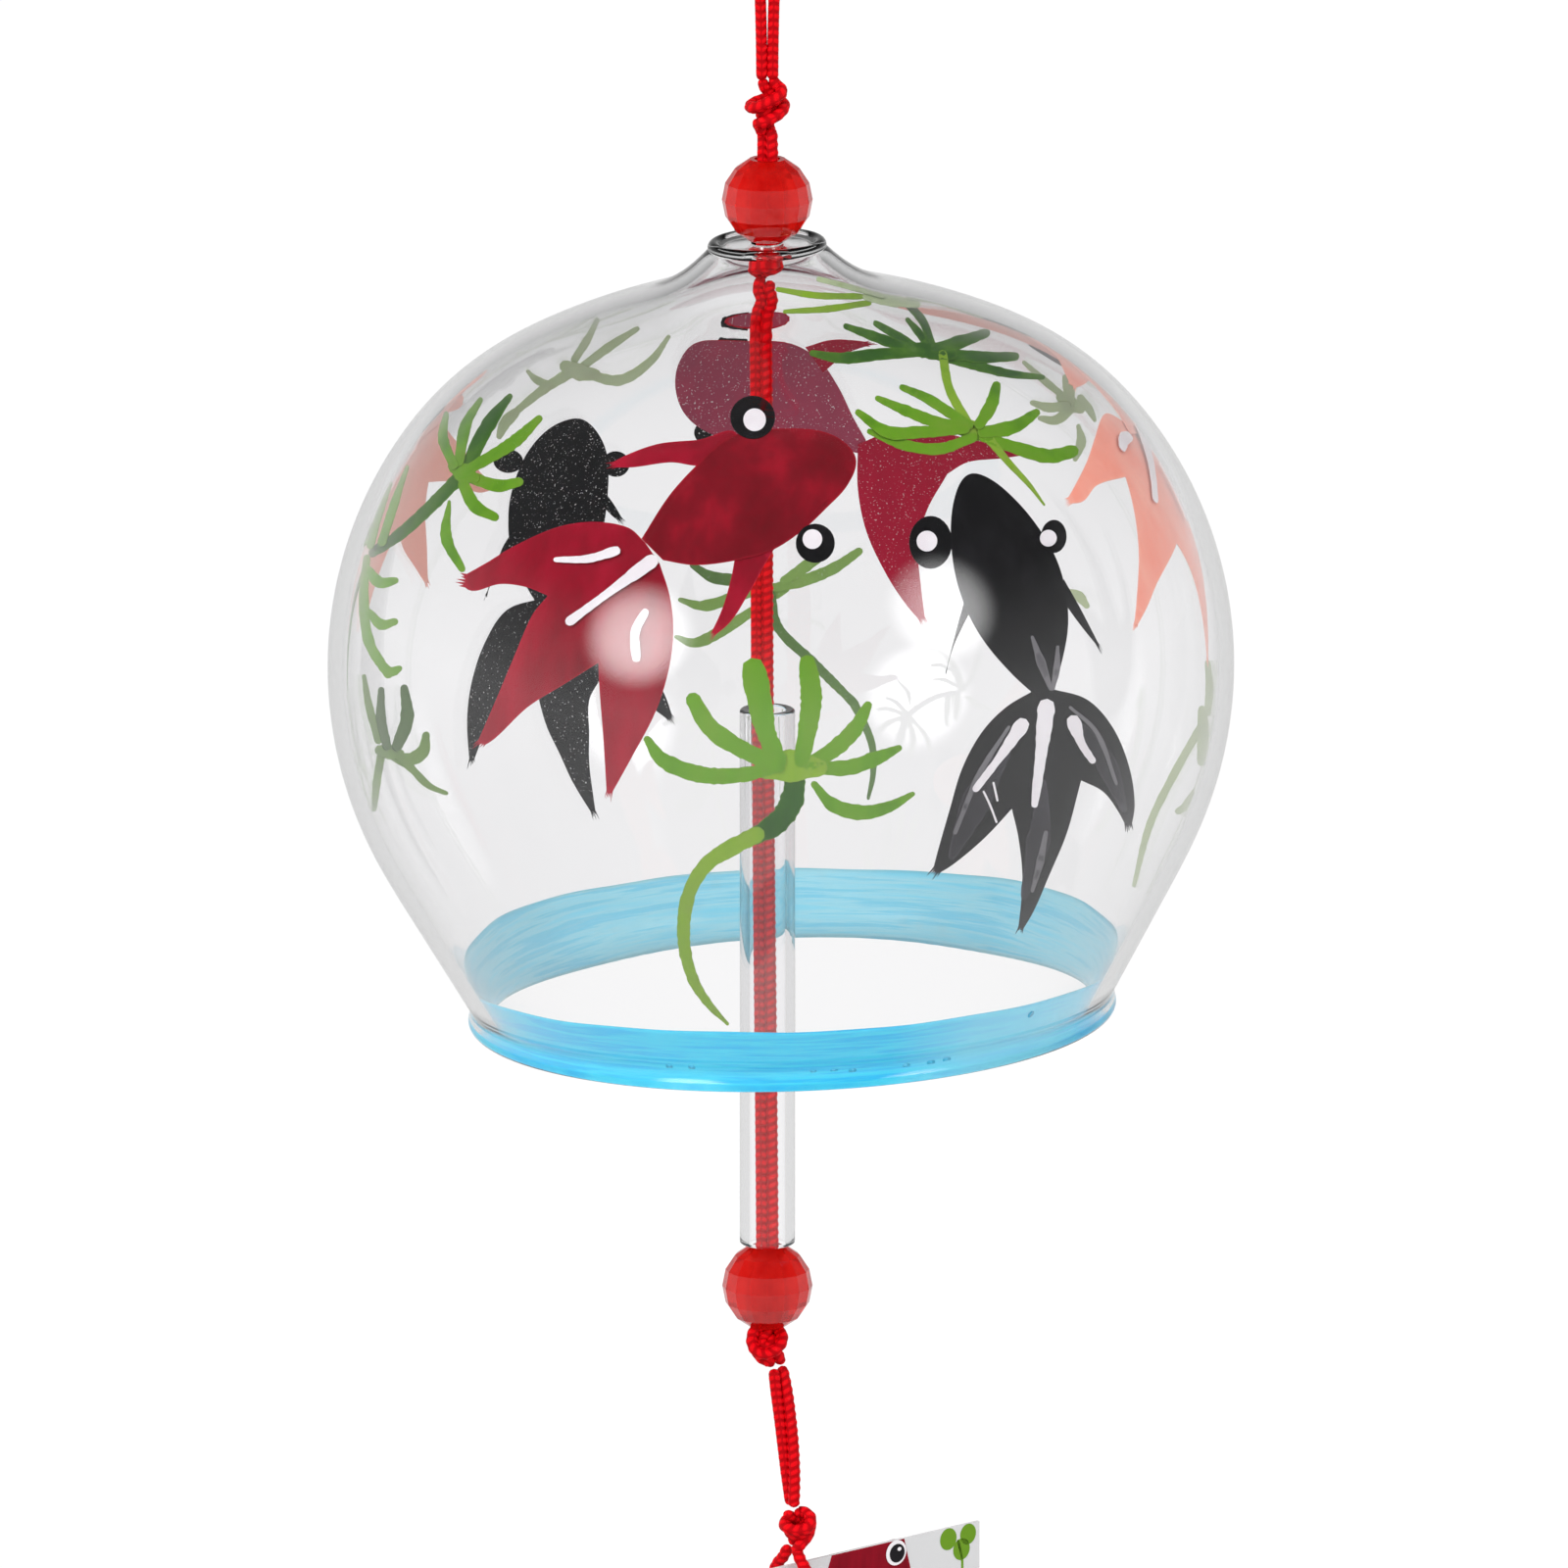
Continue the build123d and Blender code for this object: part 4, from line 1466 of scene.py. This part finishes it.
make_weed(
    "back_upper_weed",
    far=True,
    faded=(
        (((609, 326), (600, 344), (586, 366)), (5, 8, 8)),
        (((650, 334), (622, 352), (592, 374)), (5, 9, 8)),
        (((682, 341), (664, 366), (632, 386), (598, 380)), (4, 9, 11, 9)),
        (((576, 372), (592, 378), (606, 380)), (13, 18, 12)),
        (((580, 380), (552, 398), (520, 424)), (11, 9, 6)),
        (((560, 392), (546, 386), (538, 378)), (8, 8, 4)),
        (((524, 420), (514, 430), (508, 444)), (10, 12, 6)),
    ),
)
make_weed(
    "back_middle_weed",
    far=True,
    strokes=(
        (((694, 612), (716, 618), (742, 612), (776, 600)), (5, 12, 12, 9)),
        (((690, 650), (708, 656), (732, 646), (770, 622)), (5, 12, 12, 9)),
        (((877, 562), (850, 580), (820, 592), (788, 600)), (8, 12, 12, 9)),
        (((846, 560), (830, 572), (800, 592)), (9, 12, 9)),
        (((762, 596), (784, 604), (800, 600)), (14, 20, 12)),
    ),
    dark=(
        (((706, 576), (726, 588), (752, 592), (780, 600)), (6, 13, 13, 10)),
        (((786, 606), (794, 640), (830, 676), (872, 718)), (10, 10, 10, 9)),
        (((872, 718), (890, 758), (892, 790), (887, 816)), (9, 8, 7, 3)),
    ),
)
make_weed(
    "back_left_weed",
    far=True,
    strokes=(
        (((434, 750), (430, 768), (412, 776), (398, 768)), (7, 13, 14, 10)),
        (((396, 764), (418, 784), (436, 802), (454, 810)), (8, 8, 7, 4)),
        (((386, 766), (396, 768), (406, 770)), (11, 15, 10)),
        (((369, 690), (374, 720), (384, 756)), (4, 8, 8)),
        (((388, 772), (384, 796), (381, 826)), (8, 8, 5)),
    ),
    dark=(
        (((386, 704), (386, 734), (392, 762)), (6, 10, 9)),
        (((409, 702), (412, 734), (402, 762)), (7, 14, 11)),
    ),
)
make_weed(
    "back_right_weed",
    far=True,
    faded=(
        (((1226, 742), (1199, 790), (1174, 842), (1158, 904)), (8, 8, 7, 4)),
        (((1228, 724), (1229, 750), (1227, 778)), (8, 13, 8)),
        (((1234, 676), (1236, 700), (1234, 728)), (5, 8, 6)),
        (((1204, 829), (1214, 822), (1224, 806)), (6, 11, 7)),
        (((1199, 863), (1208, 850), (1220, 832)), (3, 6, 4)),
        (((1094, 604), (1102, 608), (1110, 618)), (7, 11, 6)),
        (((1089, 384), (1092, 396), (1093, 410)), (8, 12, 10)),
        (((1055, 409), (1072, 414), (1090, 412)), (5, 10, 9)),
        (((1062, 426), (1078, 428), (1094, 416)), (5, 11, 9)),
        (((1084, 404), (1094, 412), (1104, 416)), (11, 16, 10)),
        (((1046, 368), (1066, 386), (1088, 404)), (4, 7, 7)),
        (((1104, 404), (1112, 414), (1119, 427)), (7, 8, 4)),
        (((1101, 434), (1104, 450), (1098, 468)), (4, 10, 5)),
    ),
)

# The blue band: a coat brushed round the inside of the mouth
band_azimuths = 240
band_rows = 14
band_coat = 0.13 * mm
band_gap = 0.015 * mm
rim_foot_drop = 31.8 * mm
band_foot_height = 0.1 * mm
band_top_height = 6.0 * mm
brush_waver = 0.2 * mm
brush_waves = ((1.0, 3, 0.7), (0.6, 7, 2.1), (0.35, 17, 0.0))
brush_edge_slope, brush_edge_share = 6, 0.25


def inner_wall(azimuth, height):
    """The inside of the bell's wall at an angle about its axis and a height over its rim."""
    outward = bell_outward(azimuth)
    start = bell_equator - bell_up * (rim_foot_drop - height)
    place, normal = glass_hit(start, outward)
    return place, (normal if normal.dot(outward) < 0 else -normal)


def make_band():
    """The coat as one closed ring, with brushed edges that waver a little."""
    vertices = []
    for step in range(band_azimuths):
        angle = 2 * pi * step / band_azimuths
        waves = [share * sin(count * angle + phase) for share, count, phase in brush_waves]
        top = band_top_height + sum(waves) * brush_waver / 2
        outside, inside = [], []
        for row in range(band_rows + 1):
            share = row / band_rows
            height = band_foot_height + share * (top - band_foot_height)
            place, normal = inner_wall(angle, height)
            edge = min(1.0, brush_edge_slope * min(share, 1 - share) + brush_edge_share)
            outside.append(tuple(place + normal * band_gap))
            inside.append(tuple(place + normal * (band_gap + band_coat * edge)))
        vertices += outside + inside[::-1]
    ring = 2 * (band_rows + 1)
    faces = ring_faces(band_azimuths, ring, around=True)
    sides = [0 if index % ring < band_rows else 1 for index in range(len(faces))]
    made = new_object("blue_band_coat", vertices, faces, [band_outside, band_inside])
    new_piece(made, "bell", "band", "rim_band", sides=sides)
    mesh = made.data
    uv_layer = mesh.uv_layers.new(name="UVMap")
    turn_width = 2 * pi * band_unrolled_radius / band_azimuths
    for polygon in mesh.polygons:
        step = polygon.index // ring
        for corner, loop_index in enumerate(polygon.loop_indices):
            row = mesh.loops[loop_index].vertex_index % ring
            row = min(row, ring - 1 - row)
            turn = step + (corner in (1, 2))
            across = row / band_rows * (band_top_height / mm)
            uv_layer.data[loop_index].uv = (turn * turn_width, across)


make_band()

# Bubbles the brush left in the coat: pixels of the photograph and radii in millimetres
band_bubbles = (
    (564, 1045, 0.42), (689, 1058, 0.42), (683, 1088, 0.36), (706, 1089, 0.36), (805, 1056, 0.45),
    (831, 1055, 0.36), (830, 1093, 0.36), (851, 1092, 0.4), (870, 1092, 0.36), (925, 1087, 0.42),
    (950, 1084, 0.4), (966, 1081, 0.4), (954, 1041, 0.36), (971, 1038, 0.3), (1024, 1029, 0.36),
    (1037, 1023, 0.4), (1052, 1021, 0.42), (1052, 1035, 0.36), (1124, 990, 0.4), (1144, 982, 0.4),
)
bubble_rise = 0.22
bubble_sides = 12
bubble_margin = 0.7 * mm
bubble_rings = 6
bubble_azimuths = (0, 125, 235)
bubble_spread = (0.8, 1.1)


def make_bubbles():
    """Small blisters on the glass under the coat, each with painted shade in a dark ring and a painted highlight on
    top: the front ones, and twice more, turned.
    """
    material, tree = new_material("bubble_in_coat")
    # Painted shade and highlight: darker round each bubble's flank, near white at its top.
    colour = ramp(
        tree,
        attribute(tree, "core"),
        (0.0, (0.05, 0.6, 0.93)), (0.3, (0.01, 0.3, 0.7)), (0.6, (0.03, 0.45, 0.85)),
        (0.8, grey(0.9)),
    )
    inputs = {"Base Color": colour, "Roughness": 0.2, "Coat Weight": 0.5}
    show(tree, node(tree, "BsdfPrincipled", inputs).outputs[0])
    vertices, faces, cores = [], [], []
    spots = [(azimuth, *bubble) for azimuth in bubble_azimuths for bubble in band_bubbles]
    for azimuth, x, y, radius in spots:
        hit = on_glass(x, y, azimuth, False)
        if hit is None:
            continue
        spot, away = hit
        height = rim_foot_drop + (spot - bell_equator).dot(bell_up)
        if not bubble_margin < height < band_top_height - bubble_margin:
            continue
        side = away.orthogonal().normalized()
        other = away.cross(side)
        radius *= mm * brush.uniform(*bubble_spread)
        start = len(vertices)
        for ring in range(bubble_rings):
            level = ring / bubble_rings * pi / 2
            for turn in range(bubble_sides):
                angle = 2 * pi * turn / bubble_sides
                out = (side * cos(angle) + other * sin(angle)) * radius * cos(level)
                vertices.append(tuple(spot + out + away * radius * bubble_rise * sin(level)))
                cores.append(1 - cos(level))
        vertices.append(tuple(spot + away * radius * bubble_rise))
        cores.append(1.0)
        faces += ring_faces(bubble_rings, bubble_sides, start)
        tip = len(vertices) - 1
        last = range(tip - bubble_sides, tip)
        faces += [(one, two, tip) for one, two in zip(last, (*last[1:], last[0]))]
        faces.append(tuple(start + turn for turn in reversed(range(bubble_sides))))
    made = new_object("band_bubbles", vertices, faces, [material])
    new_piece(made, "bell", "band", core=cores)


make_bubbles()

# Print on the card, in millimetres
strip_top_shift = 184.56 * mm
strip_half_thick = 0.175 * mm
strip_middle_x = tie_flex.x
print_thick = 0.02 * mm
print_step = 0.5
print_grid = 1.2
print_scale = 0.1
print_layers, print_mark_layer = 3, 4
print_eye_ring = 1.35
print_pupil_shift = (0.1, 0.05)
print_glint_shift, print_glint = (0.35, -0.3), (0.25, 0.2)
card_sides = (-1, 1)


def on_card(side):
    """Places a point of the print on the card's front, -1, or its back, 1."""
    card_top = Vector((strip_middle_x, 0, -strip_top_shift))
    away = strip_face * side

    def place(spot):
        x, down = spot
        point = card_top + strip_across * x * mm - Vector((0, 0, down)) * mm
        return point + away * strip_half_thick, away

    return place


def make_print(name, paint, shapes=(), whites=(), eyes=(), rounds=(), lines=()):
    """One motif, the same on both faces of the card."""
    shell = Shell(print_thick, 1.0)
    both, marks, dark = ([sides[0]] * 2 for sides in (paint, white_paint, black_paint))
    for side in card_sides:
        place = on_card(side)

        def add(outline, material, layer):
            shell.add(outline, place, material, layer, print_grid)

        for number, shape in enumerate(shapes):
            outline = smooth_outline(shape, step=print_step, scale=print_scale)
            add(outline, both, number % print_layers)
        for x, y, radius in rounds:
            add(oval(x, y, radius, radius), both, 0)
        for number, (line, widths) in enumerate(lines):
            add(stroke_outline(line, widths, print_step), both, number % print_layers)
        for line, widths in whites:
            add(stroke_outline(line, widths, print_step), marks, print_mark_layer)
        for x, y, across, up in eyes:
            rings = (
                ((0, 0), (print_eye_ring, print_eye_ring), marks),
                (print_pupil_shift, (1, 1), dark),
                (print_glint_shift, print_glint, marks),
            )
            for layer, (shift, size, material) in enumerate(rings, print_mark_layer):
                outline = oval(x + shift[0], y + shift[1], across * size[0], up * size[1])
                add(outline, material, layer)
    shell.finish(name, "strip", "paper")


# A goldfish going up out of the card's top edge, a clover, and a small fish and weed lower down:
# places are across from the card's middle and down from its top
make_print(
    "card_red_fish",
    paint=red_paint,
    shapes=(
        ((4.6, 0.0, 1), (3.4, 3.2), (2.7, 7.6), (2.9, 12.4), (4.2, 17.0), (6.4, 21.2),
         (9.2, 24.4, 1), (11.4, 23.8, 1), (13.6, 20.0), (15.0, 15.0), (15.2, 10.0), (14.6, 5.0),
         (13.35, 0.0, 1)),
        ((3.4, 9.2, 1), (0.8, 11.4), (-1.8, 15.6, 2), (1.0, 14.8), (3.6, 13.8, 1)),
        ((15.0, 8.0, 1), (17.6, 10.0), (20.0, 13.8, 2), (17.0, 13.6), (14.8, 12.6, 1)),
        ((9.4, 23.2, 1), (6.4, 25.6), (2.4, 29.4), (-1.4, 35.0), (-3.6, 41.4, 2), (0.4, 39.0),
         (4.4, 35.2), (7.4, 31.6, 1), (8.0, 37.0), (8.4, 43.0), (7.6, 50.0, 2), (11.2, 44.4),
         (12.8, 38.4), (13.2, 32.4, 1), (15.6, 35.6), (17.2, 40.0), (18.4, 45.0, 2), (18.6, 38.4),
         (17.0, 31.2), (13.6, 25.6), (11.2, 23.0, 1)),
    ),
    whites=(
        (((8.4, 26.6), (5.4, 29.6), (2.2, 33.8)), (1.2, 1.0, 0.5)),
        (((10.6, 26.8), (10.4, 31.6), (10.6, 37.0)), (1.3, 1.0, 0.6)),
        (((12.4, 26.2), (14.4, 29.4), (16.0, 33.4)), (1.1, 0.9, 0.5)),
        (((7.0, 5.0), (6.2, 9.4), (6.8, 14.0)), (0.5, 0.7, 0.4)),
    ),
    eyes=((12.3, 1.1, 0.9, 0.85), (4.9, 3.2, 0.8, 0.85)),
)
make_print(
    "card_clover",
    paint=green_paint,
    rounds=((18.7, 1.0, 1.0), (20.3, 2.2, 1.0), (21.1, 0.95, 0.95)),
    lines=((((19.9, 1.4), (20.4, 3.4), (20.2, 5.6)), (0.3, 0.25, 0.2)),),
)
make_print(
    "card_small_fish",
    paint=black_paint,
    shapes=(
        ((-9.6, 78.0), (-11.6, 79.4), (-12.6, 82.4), (-12.2, 86.4), (-10.4, 90.4), (-8.6, 93.0, 1),
         (-7.4, 92.8, 1), (-6.2, 89.4), (-5.6, 85.2), (-6.2, 81.2), (-7.6, 78.4)),
        ((-8.6, 92.2, 1), (-11.0, 94.6), (-13.2, 98.6), (-14.2, 103.0, 2), (-11.6, 101.0),
         (-9.2, 97.8, 1), (-8.6, 101.4), (-8.4, 106.0, 2), (-6.8, 101.6), (-6.4, 97.2, 1),
         (-4.6, 99.2), (-3.0, 102.6, 2), (-3.2, 98.0), (-5.0, 94.2), (-7.2, 92.0, 1)),
    ),
    whites=(
        (((-8.8, 94.4), (-10.4, 96.8), (-11.8, 99.8)), (0.9, 0.7, 0.4)),
        (((-7.2, 94.6), (-7.2, 97.6), (-7.4, 100.6)), (0.9, 0.7, 0.4)),
    ),
    eyes=((-11.8, 81.0, 0.7, 0.8), (-6.4, 80.8, 0.7, 0.8)),
)
make_print(
    "card_weed",
    paint=green_paint,
    lines=(
        (((5.2, 74.0), (7.4, 76.0), (10.2, 76.8), (12.4, 76.4)), (0.7, 1.9, 1.8, 0.9)),
        (((7.6, 70.0), (9.4, 72.2), (11.4, 74.6), (12.8, 76.4)), (0.6, 1.6, 1.7, 0.9)),
        (((13.2, 69.2), (13.8, 71.6), (13.4, 74.2), (12.8, 76.4)), (0.7, 1.7, 1.7, 0.9)),
        (((18.6, 71.6), (17.2, 73.6), (15.2, 75.6), (12.8, 76.6)), (0.6, 1.6, 1.7, 0.9)),
        (((19.4, 77.6), (17.4, 78.4), (15.0, 78.0), (12.8, 76.8)), (0.6, 1.6, 1.6, 0.9)),
        (((12.8, 76.8), (12.2, 80.8), (9.8, 84.8), (7.2, 89.6)), (1.2, 1.1, 0.9, 0.4)),
        (((10.6, 83.6), (13.2, 84.4), (15.8, 83.4)), (0.6, 1.5, 0.6)),
        (((8.6, 87.0), (11.0, 89.2), (13.8, 89.4)), (0.6, 1.4, 0.5)),
        (((-15.8, 118.0), (-13.2, 117.6), (-10.6, 118.8), (-8.8, 121.0)), (0.5, 1.5, 1.6, 0.8)),
        (((-13.4, 113.6), (-11.4, 115.4), (-9.8, 118.0), (-8.8, 121.0)), (0.5, 1.5, 1.6, 0.8)),
        (((-6.4, 113.0), (-6.2, 115.8), (-7.4, 118.8), (-8.8, 121.0)), (0.6, 1.6, 1.5, 0.8)),
        (((-1.8, 117.4), (-4.0, 118.8), (-6.6, 120.4), (-8.8, 121.2)), (0.5, 1.5, 1.5, 0.8)),
        (((-8.8, 121.2), (-9.4, 126.0), (-8.6, 131.0)), (1.0, 0.8, 0.4)),
    ),
)

# Floor, light and surroundings
floor_height = -0.37
floor_half = 8.0
floor_glow = 0.82
floor_white = 1.07
floor_bounce = 0.4
through_glass = 1.0
fill_light = 1.5
reflected_floor = 0.82
reflected_horizon = 0.8
reflected_overhead = 0.14
overhead_from = 0.5
floor_corners = ((-1, -1), (1, -1), (1, 1), (-1, 1))


def mirrored_share(tree, path):
    """1 where a ray has been reflected on its way, and 0 where it came direct or through glass."""
    return maths(tree, "MINIMUM", path.outputs["Glossy Depth"], 1.0)


def surroundings_level(tree, path, reflected):
    """How bright the surroundings are when seen, when reflected, and where they light things."""
    seen = mapped(tree, mirrored_share(tree, path), 1.0, reflected)
    lit = mapped(tree, path.outputs["Diffuse Depth"], 1.0, fill_light)
    return maths(tree, "MULTIPLY", seen, lit)


def make_floor():
    """A plain pale floor, white where it fills the picture, that keeps a soft shadow."""
    material, tree = new_material("pale_floor")
    path = node(tree, "LightPath")
    through = path.outputs["Is Transmission Ray"]
    seen = maths(tree, "MAXIMUM", path.outputs["Is Camera Ray"], path.outputs["Is Glossy Ray"])
    level = mapped(tree, maths(tree, "MAXIMUM", seen, through), floor_bounce, floor_white)
    level = maths(tree, "MULTIPLY_ADD", through, through_glass - floor_white, level)
    level = maths(tree, "MULTIPLY", level, surroundings_level(tree, path, reflected_floor))
    lit = node(tree, "BsdfDiffuse", {"Color": opaque(grey(0.8))}).outputs[0]
    glow = node(tree, "Emission", {"Color": opaque(grey(1)), "Strength": level}).outputs[0]
    show(tree, mix_shader(tree, floor_glow, lit, glow))
    corners = [(x * floor_half, y * floor_half, floor_height) for x, y in floor_corners]
    floor = new_object("floor", corners, [(0, 1, 2, 3)], [material])
    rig.stage(floor)


# Round softboxes that only reflections show: directions, half widths in degrees and strengths
reflected_softboxes = (((-0.594, -0.712, 0.373), 16, 7.5), ((0.65, -0.6, 0.46), 16, 5.5))


def make_world():
    """White at the horizon and greyer overhead, with soft round lights in reflections only."""
    world = bpy.data.worlds.new("studio")
    world.use_nodes = True
    tree = world.node_tree
    tree.nodes.clear()
    direction = node(tree, "TexCoord").outputs["Generated"]
    height = node(tree, "SeparateXYZ", {0: direction}).outputs["Z"]
    sky = ramp(tree, height, (0.0, grey(1.0)), (0.25, grey(0.85)), (0.7, grey(0.45)))
    glows = 0.0
    for toward, half_width, strength in reflected_softboxes:
        aim = {0: direction, 1: tuple(Vector(toward).normalized())}
        level = node(tree, "VectorMath", aim, operation="DOT_PRODUCT").outputs["Value"]
        edge = cos(radians(half_width))
        spot = mapped(tree, level, 0.0, strength, edge, interpolation_type="SMOOTHSTEP")
        glows = maths(tree, "ADD", glows, spot)
    path = node(tree, "LightPath")
    glows = maths(tree, "MULTIPLY", glows, mirrored_share(tree, path))
    reflected = mapped(tree, height, reflected_horizon, reflected_overhead, 0.0, overhead_from)
    strength = maths(tree, "ADD", glows, surroundings_level(tree, path, reflected))
    plain = mix_colour(tree, path.outputs["Is Camera Ray"], sky, grey(1.0))
    through = path.outputs["Is Transmission Ray"]
    plain = mix_colour(tree, through, plain, grey(through_glass))
    shader = node(tree, "Background", {"Color": plain, "Strength": strength})
    node(tree, "OutputWorld", {"Surface": shader.outputs[0]})
    bpy.context.scene.world = world


def lamp(name, kind, place, energy, **settings):
    """A lamp at a place, turned to the bell, that reflected and refracted rays don't show."""
    data = bpy.data.lights.new(name, kind)
    data.energy = energy
    for setting, value in settings.items():
        setattr(data, setting, value)
    made = bpy.data.objects.new(name, data)
    made.location = place
    made.rotation_euler = (bell_equator - Vector(place)).to_track_quat("-Z", "Y").to_euler()
    bpy.context.scene.collection.objects.link(made)
    made.visible_glossy = False
    made.visible_transmission = False


make_floor()
make_world()
lamp("key_sun", "SUN", (-0.6, -1.0, 1.1), 1.1, angle=radians(25))
lamp("softbox_left", "AREA", (-0.7, -0.9, 0.55), 2.5, shape="RECTANGLE", size=0.35, size_y=0.5)
lamp("softbox_right", "AREA", (0.8, -0.7, 0.3), 1.2, shape="RECTANGLE", size=0.2, size_y=0.5)

bpy.context.scene.view_settings.view_transform = "Standard"

visual_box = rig.bounds()
with open("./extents.json", "w") as size_file:
    json.dump(
        {"cad": [list(corner) for corner in cad_box], "visual": [list(corner) for corner in visual_box]},
        size_file,
    )
